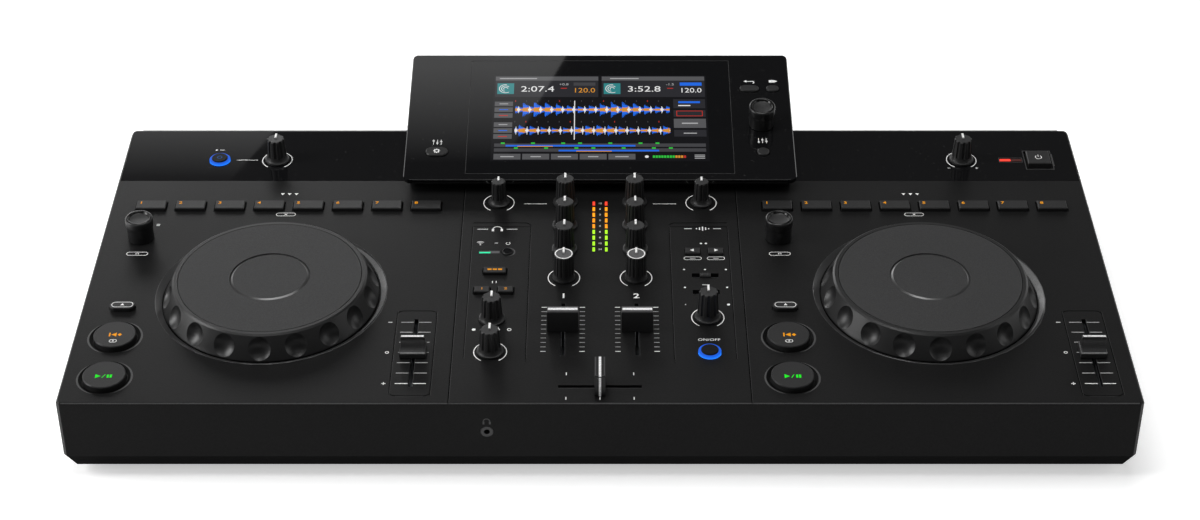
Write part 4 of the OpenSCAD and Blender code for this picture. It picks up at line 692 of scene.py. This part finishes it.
# Encoders
# Tall push encoders beside the hot cue rows and at the right of the display, with a waist for the fingers.
# Hard black plastic with a soft-touch lacquer; the rim round the dished top is rubbed shiny.
encoder_lacquer = moulded("encoder_lacquer", (0.0100, 0.0100, 0.0104), 0.36, 1400, 0.15, 0.4)
encoder_rim = moulded("encoder_rim", (0.0035, 0.0035, 0.0036), 0.22, 1400, 0.05, 0.3)
encoder_floor = moulded("encoder_floor", (0.0260, 0.0260, 0.0264), 0.5, 1600, 0.2, 0.2)
panel_front, panel_foot, panel_tilt = 0.046299, 0.0678, 8.1
panel_face = face_at(panel_foot, panel_front, panel_tilt)
panel_column, browse_place, cap_width = 110.4, 57.5, 0.94
for name in ("loop_encoder_left", "loop_encoder_right", "browse_encoder"):
    profile = [(0, 0.4), (9, 0.4), (9, 9.2), (9.12, 9.7), (9.38, 10.4), (9.5, 11)]
    bend = [math.radians(turn) for turn in range(0, 91, 15)]
    profile += [(8.1 + 1.4 * math.cos(turn), 15 + 1.4 * math.sin(turn)) for turn in bend]
    profile += [(7.6, 16.4), (7.25, 16.2), (6.75, 15.3), (6.4, 15.03), (0, 15)]
    bm = turned(profile, 72, closed=False)
    for face in bm.faces:
        face.smooth = True
        middle = face.calc_center_median()
        reach = math.hypot(middle.x, middle.y)
        floor_face, rim_face = middle.z > 14 and reach < 6.5, middle.z > 15 and reach < 8.9
        face.material_index = 2 if floor_face else 1 if rim_face else 0
    for edge in bm.edges:
        edge.smooth = edge.calc_face_angle(0) < 0.7
    x, y = spot(name)
    seat = deck_face
    if name == "browse_encoder":
        x, y, seat = panel_column, browse_place, panel_face
    bmesh.ops.transform(bm, matrix=Matrix.Diagonal((cap_width, cap_width, 1, 1)), verts=bm.verts)
    set_down(bm, seat, x, y)
    knob = make_piece(name + "_cap", bm, name, encoder_lacquer)
    knob.data.materials.append(encoder_rim)
    knob.data.materials.append(encoder_floor)
    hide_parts(name)

# Tempo sliders
# Ridged slider caps on a long slot, each with a white index line across the ridge and a grey painted highlight
# along the front lip and its chamfer. Satin black plastic; the white line is hot-stamped foil and slightly silvery.
cap_plastic = moulded("cap_plastic", (0.0210, 0.0210, 0.0214), 0.36, 1500, 0.15, 0.4)
foil = moulded("index_foil", (0.80, 0.80, 0.80), 0.30, 900, 0.08)
tempo_lip_painted_highlight = moulded("tempo_lip_painted_highlight", (0.17, 0.17, 0.17), 0.30, 900, 0.08)
dress(cap_plastic, "tempo_cap_left", "tempo_cap_right")
for deck in ("left", "right"):
    name = "tempo_cap_" + deck
    x, y = spot(name)
    edge_face = face_at(deck_top + 0.00405, front + (y - 6.25) / 1000, 45)
    bar_film("tempo_line_" + deck, name, foil, top_of(name), (x, y, 13.6, 1.5))
    # A grey painted highlight along the front lip and down its chamfer.
    bar_film("tempo_lip_" + deck, name, tempo_lip_painted_highlight, face_at(deck_top + 0.0043), (x, y - 5.65, 14.9, 0.7))
    bar_film("tempo_edge_" + deck, name, tempo_lip_painted_highlight, edge_face, (x, 0, 15.2, 0.66))

# Knobs
# Fluted push-on knobs with a flared foot, on plastic shafts; the pointer is a separate white inlay that
# stands a little proud. Soft black elastomer over a hard core, with a fine grain; the filter knobs have a
# grey cap with a white ring.
knob_rubber = moulded("knob_rubber", (0.0185, 0.0185, 0.0189), 0.44, 1800, 0.3, 0.35)
pointer_white = moulded("pointer_white", (0.82, 0.82, 0.81), 0.40, 900, 0.1)
slim, wide, filter_top = 9.2, 11.6, 12.6
knob_tops = {"trim_knob_1": slim, "trim_knob_2": slim, "headphone_mix_knob": wide, "mic_knob": wide,
             "headphone_level_knob": wide, "effect_depth_knob": wide, "master_knob": wide,
             "high_knob_1": wide, "high_knob_2": wide, "mid_knob_1": wide, "mid_knob_2": wide,
             "low_knob_1": wide, "low_knob_2": wide, "filter_knob_1": filter_top, "filter_knob_2": filter_top}
for name, top in knob_tops.items():
    dress(knob_rubber, name)
    x, y = spot(name)
    reach = top / 2 - 0.6
    bm = bmesh.new()
    bmesh.ops.create_cube(bm, size=1, matrix=Matrix.Translation((x, y + 0.3 + reach / 2, -0.33))
                          @ Matrix.Diagonal((1.38, reach + 0.08, 0.74, 1)))
    bmesh.ops.bevel(bm, geom=[e for e in bm.edges if e.verts[0].co.z > 0 and e.verts[1].co.z > 0],
                    offset=0.15, offset_type="OFFSET", affect="EDGES", segments=2, profile=0.5, material=-1)
    set_down(bm, top_of(name))
    make_piece("pointer_" + name, bm, name, pointer_white)
cap_grey = moulded("filter_cap_grey", (0.075, 0.075, 0.077), 0.45, 1600, 0.15)
for name in ("filter_knob_1", "filter_knob_2"):
    x, y = spot(name)
    face = face_at(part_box(name)[1].z - 0.0007)
    bm = bmesh.new()
    flat_arc(bm, x, y, 5.3, 0.75, 0, 360)
    film("filter_ring_" + name[-1], bm, name, pointer_white, face)
    bm = bmesh.new()
    flat_disc(bm, x, y, 4.92, 40)
    film("filter_disc_" + name[-1], bm, name, cap_grey, face)

# Channel faders and crossfader
# Straight caps on steel levers that run in narrow slots, with a silver index line over the top, and painted highlights
# in light grey on the channel caps' tops and the crossfader's edges. The crossfader's line also runs down the end that
# faces the player.
dress(cap_plastic, "channel_cap_1", "channel_cap_2")
dress(moulded("lever_black", (0.0075, 0.0075, 0.0077), 0.45, 1500, 0.15, 0.2), "crossfader_cap")
cap_top = moulded("cap_top", (0.052, 0.052, 0.053), 0.32, 1500, 0.1, 0.5)
for name in ("channel_cap_1", "channel_cap_2"):
    x, y = spot(name)
    # A painted highlight over the channel cap's top, under the index line.
    bar_film("top_" + name, name, cap_top, top_of(name), (x, y, 18.3, 5.5))
    bar_film("line_" + name, name, foil, top_of(name), (x, y, 18.3, 2.2), 0.08)
low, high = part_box("crossfader_cap")
x, y = spot("crossfader_cap")
bend_face = face_at(high.z - 0.00025, low.y + 0.00025, 45)
bar_film("crossfader_line", "crossfader_cap", foil, face_at(high.z), (x, y, 1.5, 18.4))
bar_film("crossfader_bend", "crossfader_cap", foil, bend_face, (x, 0, 1.5, 0.72))
# Painted highlights along the crossfader's long edges and its front end.
bm = bmesh.new()
for k in (-1, 1):
    flat_bar(bm, x + k * 2.55, y, 0.45, 18.3)
    flat_bar(bm, x + k * 1.55, y - 8.95, 1.5, 0.4)
film("crossfader_edges", bm, "crossfader_cap", cap_top, face_at(high.z))
bar_film("crossfader_end_line", "crossfader_cap", foil, face_at(deck_top, low.y, 90), (x, 7.3, 1.4, 13.9))

# Small keys and slide switches
# Headphone keys left of the channels, beat keys and two slide switches right of them.
# Satin caps like the deck keys; the headphone keys are lit orange, the beat keys printed white.
dress(key_plastic, "headphone_keys", "beat_keys", "effect_select_switch", "effect_assign_switch")
bm = bmesh.new()
for number, place in zip("12", cue_keys):
    flat_text(bm, number, *place, 2.2, 1.5)
for k in (-1, 0, 1):
    flat_bar(bm, master_key[0] + 3.4 * k, master_key[1], 2.6, 1.5)
film("headphone_key_signs", bm, "headphone_keys", orange_light, top_of("headphone_keys"))
bm = bmesh.new()
flat_disc(bm, *pairing_key, 2.9, 32)
film("pairing_key_top", bm, "headphone_keys", gloss_black, face_at(deck_top + 0.001))
bm = bmesh.new()
for k in (-1, 1):
    flat_disc(bm, effect_column + k * pair_offset, 155, 1.7, 3, -90 * k)
film("beat_key_arrows", bm, "beat_keys", white_ink, top_of("beat_keys"))

# Lit round buttons
# The microphone and effect buttons: a dark cap standing in a clear ring that is lit blue from below.
# The ring glows at its foot, and painted shade dims the glow where the cap shades it; the microphone button has a dim
# sign.
blue_button = moulded("lit_blue_button", (0.010, 0.010, 0.011), 0.5, 1600, 0.15, 0.06)
tree = blue_button.node_tree
shader = tree.nodes["Principled BSDF"]
# Painted shade: the blue glow dims with height towards the cap.
rise = remap(tree, axes(tree)["Z"], deck_top - 0.0004, deck_top + 0.00152)
ring = ramp(tree, rise, ((0, (0.016, 0.21, 1.0)), (0.99, (0.006, 0.085, 0.55)), (0.999, (0, 0, 0))))
tree.links.new(ring, shader.inputs["Emission Color"])
shader.inputs["Emission Strength"].default_value = 1.35
dress(blue_button, "mic_button", "effect_button")
blue_sign = lit("blue_sign", (0.010, 0.050, 0.16), 0.5)
bm = bmesh.new()
flat_arc(bm, *spot("mic_button"), 1.5, 0.5, 0, 360)
film("sign_mic_button", bm, "mic_button", blue_sign, top_of("mic_button"))

# Power button
# Square key in a framed recess at the right end of the gloss strip, with a printed power sign.
# A satin cap like the deck keys; thin lines of painted highlight frame the recess and the power light, broader at the
# right.
dress(key_plastic, "power_button")
x, y = spot("power_button")
bm = bmesh.new()
flat_arc(bm, x, y - 0.2, 2.1, 0.5, 125, 415)
flat_bar(bm, x, y + 1.6, 0.5, 2.4)
film("power_sign", bm, "power_button", white_ink, top_of("power_button"))
# Painted highlights along the edges of the recess and round the power light.
bm = bmesh.new()
flat_frame(bm, x, y, 18.2, 22.2, 0.45)
flat_bar(bm, x + 9.9, y, 0.9, 15)
flat_frame(bm, x - 18.8, y, 15.4, 5.0, 0.35)
film("power_frame", bm, "case", lip_painted_highlight, deck_face, 0.03)

# Indicator lights
# Light pipes of clear plastic that end flush with the deck: two level meters, the pairing light and the
# power light. The meters go from green over orange to red; the other two are lit at their left half.
lights, tree, shader = blank("indicator_lights")
shader.inputs["Roughness"].default_value = 0.25
place = axes(tree)


def switch_at(x, low_side, high_side):
    return blend(tree, "MIX", combine(tree, "GREATER_THAN", place["X"], x), low_side, high_side)


meter_ends = [front + (meter_middle + k * 4.5 * meter_step) / 1000 for k in (-1, 1)]
meter_colours = ((0, (0.36, 0.80, 0.02)), (4 / 9, (1.0, 0.33, 0.01)), (8 / 9, (0.95, 0.06, 0.03)))
meter = ramp(tree, remap(tree, place["Y"], *meter_ends), meter_colours, "CONSTANT")
pairing = switch_at(-0.0710, (0.02, 0.62, 0.30), (0.055, 0.055, 0.057))
power = switch_at(0.2805, (0.95, 0.05, 0.03), (0.05, 0.012, 0.010))
glowing = switch_at(0.1, switch_at(-0.04, pairing, meter), power)
pipe = noise(tree, tree.nodes.new("ShaderNodeTexCoord").outputs["Object"], 700)
uneven = blend(tree, "MULTIPLY", 0.35, glowing, pipe)
tree.links.new(uneven, shader.inputs["Base Color"])
tree.links.new(uneven, shader.inputs["Emission Color"])
shader.inputs["Emission Strength"].default_value = 0.9
dress(lights, "indicator_lenses")
bar_film("pairing_shade", "case", cap_top, deck_face, (-74.6, 156.25, 7.0, 1.20), 0.03)

# Sockets in the walls
# Black jacks for headphones and a microphone, plated phono outputs with coloured insulating rings,
# steel data sockets and a black mains inlet with two plated pins; all are fixed behind the walls. The
# front wall has a duller grain than the deck, and a moulded sign over its jack.
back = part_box("top_case")[1].y
socket_height = 0.0307
microphone_x, outputs_x, storage_x, computer_x, mains_x = -232, -158, 160, 196, 268
headphone_x, headphone_z, headphone_r = -68, 35.5, 4.1
dress(moulded("jack_plastic", (0.014, 0.014, 0.015), 0.34, 1500, 0.15), "headphone_socket")


def part_metal(name, plating, find_metal):
    material = moulded(name, plating, 0.3, 1800, 0.1)
    tree = material.node_tree
    bare = find_metal(tree, axes(tree))
    tree.links.new(blend(tree, "MIX", bare, (0.012, 0.012, 0.013), plating), tree.nodes["grain"].inputs["Colour"])
    tree.links.new(bare, tree.nodes["Principled BSDF"].inputs["Metallic"])
    return material


def within(tree, value, middle, reach):
    return combine(tree, "COMPARE", value, middle, reach)


def output_shells(tree, place):
    return within(tree, place["X"], outputs_x / 1000, 0.03)


def data_shells_and_pins(tree, place):
    shells = within(tree, place["X"], (storage_x + computer_x) / 2000, 0.04)
    pins = [within(tree, place["X"], mains_x / 1000 + k * 0.0043, 0.0013) for k in (-1, 1)]
    level = within(tree, place["Z"], socket_height, 0.0013)
    return combine(tree, "MAXIMUM", shells, combine(tree, "MULTIPLY", combine(tree, "MAXIMUM", *pins), level))


dress(part_metal("phono_sockets", (0.62, 0.60, 0.55), output_shells), "audio_sockets")
dress(part_metal("data_sockets", (0.52, 0.53, 0.55), data_shells_and_pins), "data_sockets")
back_face = face_at(socket_height, back, -90)
for k, side, colour in ((-1, "left", (0.72, 0.72, 0.70)), (1, "right", (0.55, 0.02, 0.02))):
    bm = bmesh.new()
    flat_arc(bm, outputs_x + 8 * k, 0, 5.2, 1.9, 0, 360)
    film("output_ring_" + side, bm, "case", moulded("output_ring_" + side, colour, 0.4, 1400, 0.1), back_face, 0.9)
bm = bmesh.new()
flat_pill(bm, outputs_x, -11.4, 30, 4.2, 0.4)
for k in (-1, 1):
    flat_bar(bm, outputs_x + k * 8, -11.4, 3.0, 0.5)
flat_pill(bm, microphone_x, -11.9, 2.4, 1.9, 0.4)
flat_arc(bm, microphone_x, -12.0, 1.8, 0.4, 0, 180)
flat_bar(bm, microphone_x, -9.7, 0.45, 1.4)
for x, wide in ((storage_x, 9), (computer_x, 6)):
    flat_bar(bm, x, -9.4, wide, 0.45)
    flat_disc(bm, x, -11.2, 0.9)
flat_arc(bm, mains_x, -13.0, 1.7, 0.45, 0, 180)
flat_arc(bm, mains_x + 3.3, -13.0, 1.7, 0.45, 180, 360)
film("socket_legends", bm, "case", white_ink, back_face)
bm = bmesh.new()
flat_arc(bm, headphone_x, 43.6, 1.9, 0.6, -10, 190)
for k in (-1, 1):
    flat_bar(bm, headphone_x + k * 1.9, 42.4, 1.1, 2.2)
front_face = face_at(0, front, 90)
film("headphone_sign", bm, "case", moulded("moulded_sign", (0.034, 0.034, 0.035), 0.5, 1500, 0.2), front_face, 0.06)
bm = bmesh.new()
bend = [math.tau * k / 48 for k in range(48)]
hole = [(headphone_x + headphone_r * math.cos(turn), headphone_z + headphone_r * math.sin(turn)) for turn in bend]
for outline in (((-322.8, 16.6), (322.8, 16.6), (322.8, 56.4), (-322.8, 56.4)), hole):
    rim = [bm.verts.new((x, z, 0)) for x, z in outline]
    for k, vert in enumerate(rim):
        bm.edges.new((rim[k - 1], vert))
bmesh.ops.triangle_fill(bm, use_beauty=True, edges=bm.edges[:])
wall_plastic = moulded("wall_plastic", (0.0050, 0.0050, 0.0051), 0.55, 750, 0.42, 0.085)
film("front_wall_grain", bm, "case", wall_plastic, front_face, 0.03)

# Display housing, bezel and glass
# A wedge-shaped plastic housing screwed to the deck, with a one-piece gloss bezel and a cover glass bonded
# flush into it. Bezel and glass mirror a lamp card that stands behind the console on the left, and the
# left gloss strip mirrors a smaller one below it.
dress(deck_plastic, "display_housing")
dress(gloss_black, "display_bezel")
dress(polished("cover_glass", (0.0035, 0.0036, 0.0042), (0.012, 0.012, 0.012), 0.022), "touch_screen")


def lamp_card(name, corners, low, high, bright, faint):
    bm = bmesh.new()
    bm.faces.new([bm.verts.new(p) for p in corners])
    silk, tree, shader = blank(name)
    glow = tree.nodes.new("ShaderNodeEmission")
    tree.links.new(remap(tree, axes(tree)["Z"], low, high, bright, faint), glow.inputs["Strength"])
    tree.links.new(glow.outputs[0], tree.nodes["Material Output"].inputs["Surface"])
    card = add_object(name, bm, silk)
    card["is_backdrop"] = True
    card.visible_camera = False
    card.visible_diffuse = False
    card.visible_shadow = False
    card.visible_transmission = False


lamp_card("display_card", ((-0.7, 1.6, 1.45), (0.015, 1.6, 1.45), (-0.232, 1.6, 2.05), (-0.7, 1.6, 2.05)),
          1.64, 1.87, 1.0, 0.05)
lamp_card("strip_card", ((-0.85, 1.6, 0.95), (-0.414, 1.6, 0.95), (-0.541, 1.6, 1.10), (-0.85, 1.6, 1.10)),
          1.0, 1.08, 0.58, 0.10)

# Screen picture
# What the lit panel shows behind the glass: a plain waveform page with counters, boxes and tabs.
# Every patch is a lit film under the gloss, with faint pixel rows and a slightly uneven backlight.
backlight, ask, give = shader_group("backlight", {"Vector": "Vector", "Colour": "Color"}, {"Colour": "Color"})
rows = backlight.nodes.new("ShaderNodeTexWave")
rows.bands_direction = "Y"
rows.inputs["Scale"].default_value = 1300
backlight.links.new(ask["Vector"], rows.inputs["Vector"])
mask = remap(backlight, rows.outputs["Fac"], 0, 1, 0.86, 1)
bleed = remap(backlight, noise(backlight, ask["Vector"], 14), 0.3, 0.7, 0.92, 1.05)
level = combine(backlight, "MULTIPLY", mask, bleed)
backlight.links.new(blend(backlight, "MULTIPLY", 1, ask["Colour"], level), give["Colour"])


def pixels(name, colour):
    material = polished("pixels_" + name, (0.003, 0.003, 0.0035), (0.006, 0.006, 0.006), 0.022)
    tree = material.node_tree
    shader = tree.nodes["Principled BSDF"]
    where = tree.nodes.new("ShaderNodeTexCoord")
    lamp = tree.nodes.new("ShaderNodeGroup")
    lamp.node_tree = backlight
    lamp.inputs["Colour"].default_value = (*colour, 1)
    tree.links.new(where.outputs["Object"], lamp.inputs["Vector"])
    tree.links.new(lamp.outputs["Colour"], shader.inputs["Emission Color"])
    shader.inputs["Emission Strength"].default_value = 1
    return material


patches = {name: bmesh.new() for name in ("page", "panel", "grey", "chip", "teal", "blue", "orange", "pale",
                                          "white", "green", "red")}
flat_bar(patches["page"], 0, 64.3, 148, 90.6)
for deck, x in enumerate((-37, 37)):
    flat_bar(patches["panel"], x, 97.4, 71.6, 22.4)
    flat_bar(patches["grey"], x, 106.2, 71.6, 4.4)
    flat_bar(patches["pale"], x - 20.0, 106.2, 26 - 6 * deck, 1.0)
    flat_bar(patches["teal"], x - 28.6, 95.2, 11.6, 11.6)
    for ring in range(3):
        flat_arc(patches["white"], x - 28.6, 95.2, 1.4 + 1.5 * ring, 0.5, 40 * ring, 220 + 40 * ring)
    flat_text(patches["white"], ("2:07.4", "3:52.8")[deck], x - 6.4, 94.6, 6.0, 1.15)
    flat_bar(patches["blue" if deck else "chip"], x + 26.2, 100.2, 15.2, 3.4)
    flat_text(patches["white" if deck else "orange"], "120.0", x + 26.0, 93.2, 5.0, 1.0)
    flat_text(patches["pale"], ("+0.8", "-1.5")[deck], x + 11.8, 99.8, 2.4, 1.1)
    flat_bar(patches["red"], x + 11.8, 95.6, 4.2, 0.7)
    middle = (72.6, 50.6)[deck]
    for key in range(3):
        flat_bar(patches["grey"], -66.4, middle + 6.2 - 6.2 * key, 12.6, 4.8)
        flat_bar(patches[("pale", "blue", "red")[key]], -66.4, middle + 6.2 - 6.2 * key, 6.0, 0.8)
    flat_bar(patches["chip"], -5.2, middle, 106.4, 0.3)
    for step in range(266):
        x = -58.2 + 0.4 * step
        beat = (x / 7.6 + 0.31 * deck) % 1.0
        swell = 0.72 + 0.28 * math.sin(x * 0.11 + 1.7 * deck)
        bass = (9.4 if deck == 0 else 6.6) * swell * math.exp(-1.3 * beat) * (0.86 + 0.14 * math.sin(9 * x))
        voice = (5.2 if deck == 0 else 6.4) * swell * math.exp(-3.4 * abs(beat - 0.5)) * (0.75 + 0.25 * math.sin(5 * x))
        tick = 4.6 * math.exp(-16 * abs(beat - (0.75 if deck else 0.62)))
        for name, size in (("blue", bass), ("orange", 0.25 * bass + 0.42 * voice), ("white", tick)):
            if size > 0.35:
                flat_bar(patches[name], x, middle, 0.4, 2 * size)
    for beat in range(14):
        flat_bar(patches["red" if beat % 4 == deck else "chip"], -58.4 + 7.6 * beat, middle + 9.2, 0.5, 1.5)
    low = (35.4, 30.4)[deck]
    flat_bar(patches["chip"], 0, low, 143.6, 3.4)
    flat_bar(patches["blue"], -20 + 26 * deck, low - 0.6, 88 - 20 * deck, 1.6)
    flat_bar(patches["orange"], -44 + 40 * deck, low - 1.3, 24, 0.7)
    for mark in range(7):
        flat_bar(patches["green"], -66 + 9 * deck + 17.5 * mark + 3 * (mark % 3), low + 2.0, 2.6, 1.5)
flat_bar(patches["white"], -17.5, 61.6, 0.6, 41)
for box, tall in enumerate((9.6, 7.0, 9.6, 7.0)):
    y = (79.0, 68.6, 58.2, 47.8)[box]
    flat_bar(patches["panel" if box != 2 else "grey"], 61.6, y, 22.0, tall)
flat_bar(patches["blue"], 61.6, 80.6, 15, 2.0)
flat_bar(patches["white"], 58.2, 77.0, 8.4, 1.0)
for k in (-1, 1):
    flat_bar(patches["red"], 61.6, 68.6 + 2.6 * k, 18, 0.5)
    flat_bar(patches["red"], 61.6 + 8.8 * k, 68.6, 0.5, 5.2)
flat_bar(patches["pale"], 61.6, 58.2, 11, 1.2)
flat_bar(patches["pale"], 61.6, 47.8, 9, 0.9)
for tab in range(5):
    flat_bar(patches["grey"], -62.8 + 19.4 * tab, 23.6, 18.2, 5.8)
    flat_bar(patches["pale"], -62.8 + 19.4 * tab, 23.6, 9.0 - tab % 2 * 2, 1.0)
for step in range(12):
    flat_bar(patches["green" if step < 8 else "orange" if step < 11 else "red"], 36.4 + 1.9 * step, 23.6, 1.5, 2.4)
flat_disc(patches["white"], 31.6, 23.6, 1.3)
for k in range(3):
    flat_bar(patches["pale"], 67.4, 22.0 + 1.6 * k, 7.0, 0.7)
glow_colours = {"page": (0.004, 0.004, 0.005), "panel": (0.022, 0.022, 0.026), "grey": (0.095, 0.095, 0.10),
                "chip": (0.055, 0.055, 0.06), "pale": (0.42, 0.42, 0.43), "white": (0.85, 0.85, 0.85),
                "blue": (0.015, 0.15, 0.82), "orange": (0.72, 0.30, 0.03), "green": (0.03, 0.55, 0.05),
                "red": (0.55, 0.03, 0.02), "teal": (0.03, 0.24, 0.25)}
for layer, (name, bm) in enumerate(patches.items()):
    film("screen_" + name, bm, "case", pixels(name, glow_colours[name]), panel_face, 0.02 + 0.004 * layer)

# Display keys and their signs
# Oval and round satin keys in the bezel, with small white signs printed beside or on them. The settings
# key carries a gear; the other signs stand on the bezel, and fine painted highlights run round the glass and the
# bezel's front edge.
dress(moulded("panel_key", (0.0150, 0.0150, 0.0153), 0.4, 1700, 0.15, 0.3), "display_keys")
# Painted highlights on the edges of the glass and the bezel.
bm = bmesh.new()
flat_bar(bm, 0, 0.4, 255, 0.4)
for k in (-1, 1):
    flat_bar(bm, k * 90.3, 66.2, 0.35, 119.4)
    flat_bar(bm, 0, 66.2 + k * 59.7, 180.6, 0.35)
film("panel_edges", bm, "case", edge_painted_highlight, panel_face, 0.03)
# Painted highlights along the bezel's front edge.
bm = bmesh.new()
flat_bar(bm, 0, -0.35, 251, 0.5)
flat_bar(bm, 0, -2.65, 251, 0.35)
film("bezel_front", bm, "case", edge_painted_highlight, panel_face @ face_at(0, 0, 90), 0.03)
bm = bmesh.new()
gear_y = 28.2
flat_arc(bm, -panel_column, gear_y, 1.35, 0.6, 0, 360)
for tooth in range(8):
    turn = math.radians(45 * tooth)
    flat_bar(bm, 1.95 * math.cos(turn) - panel_column, gear_y + 1.95 * math.sin(turn), 0.7, 0.6, 45 * tooth)
film("settings_sign", bm, "display_keys", white_ink, panel_face @ Matrix.Translation((0, 0, 0.0012)))
bm = bmesh.new()
for k, tall in enumerate((1.4, -0.8, 0.6)):
    for x, y, knob in ((-panel_column, 38.4, tall), (panel_column, 40.0, -tall)):
        flat_bar(bm, x + 2.6 * (k - 1), y, 0.4, 5.2)
        flat_bar(bm, x + 2.6 * (k - 1), y + knob, 1.5, 0.9)
flat_disc(bm, 101.6, 103.2, 1.5, 3, 90)
flat_bar(bm, 104.4, 103.2, 4.0, 0.6)
flat_arc(bm, 106.4, 102.2, 1.0, 0.6, -90, 90)
flat_bar(bm, 119.6, 103.2, 3.6, 2.6)
flat_disc(bm, 122.2, 103.2, 1.6, 3, -90)
film("bezel_signs", bm, "case", white_ink, panel_face)

# The box of the dressed console, without the floor and the lamp cards, is worked out.
low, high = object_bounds()
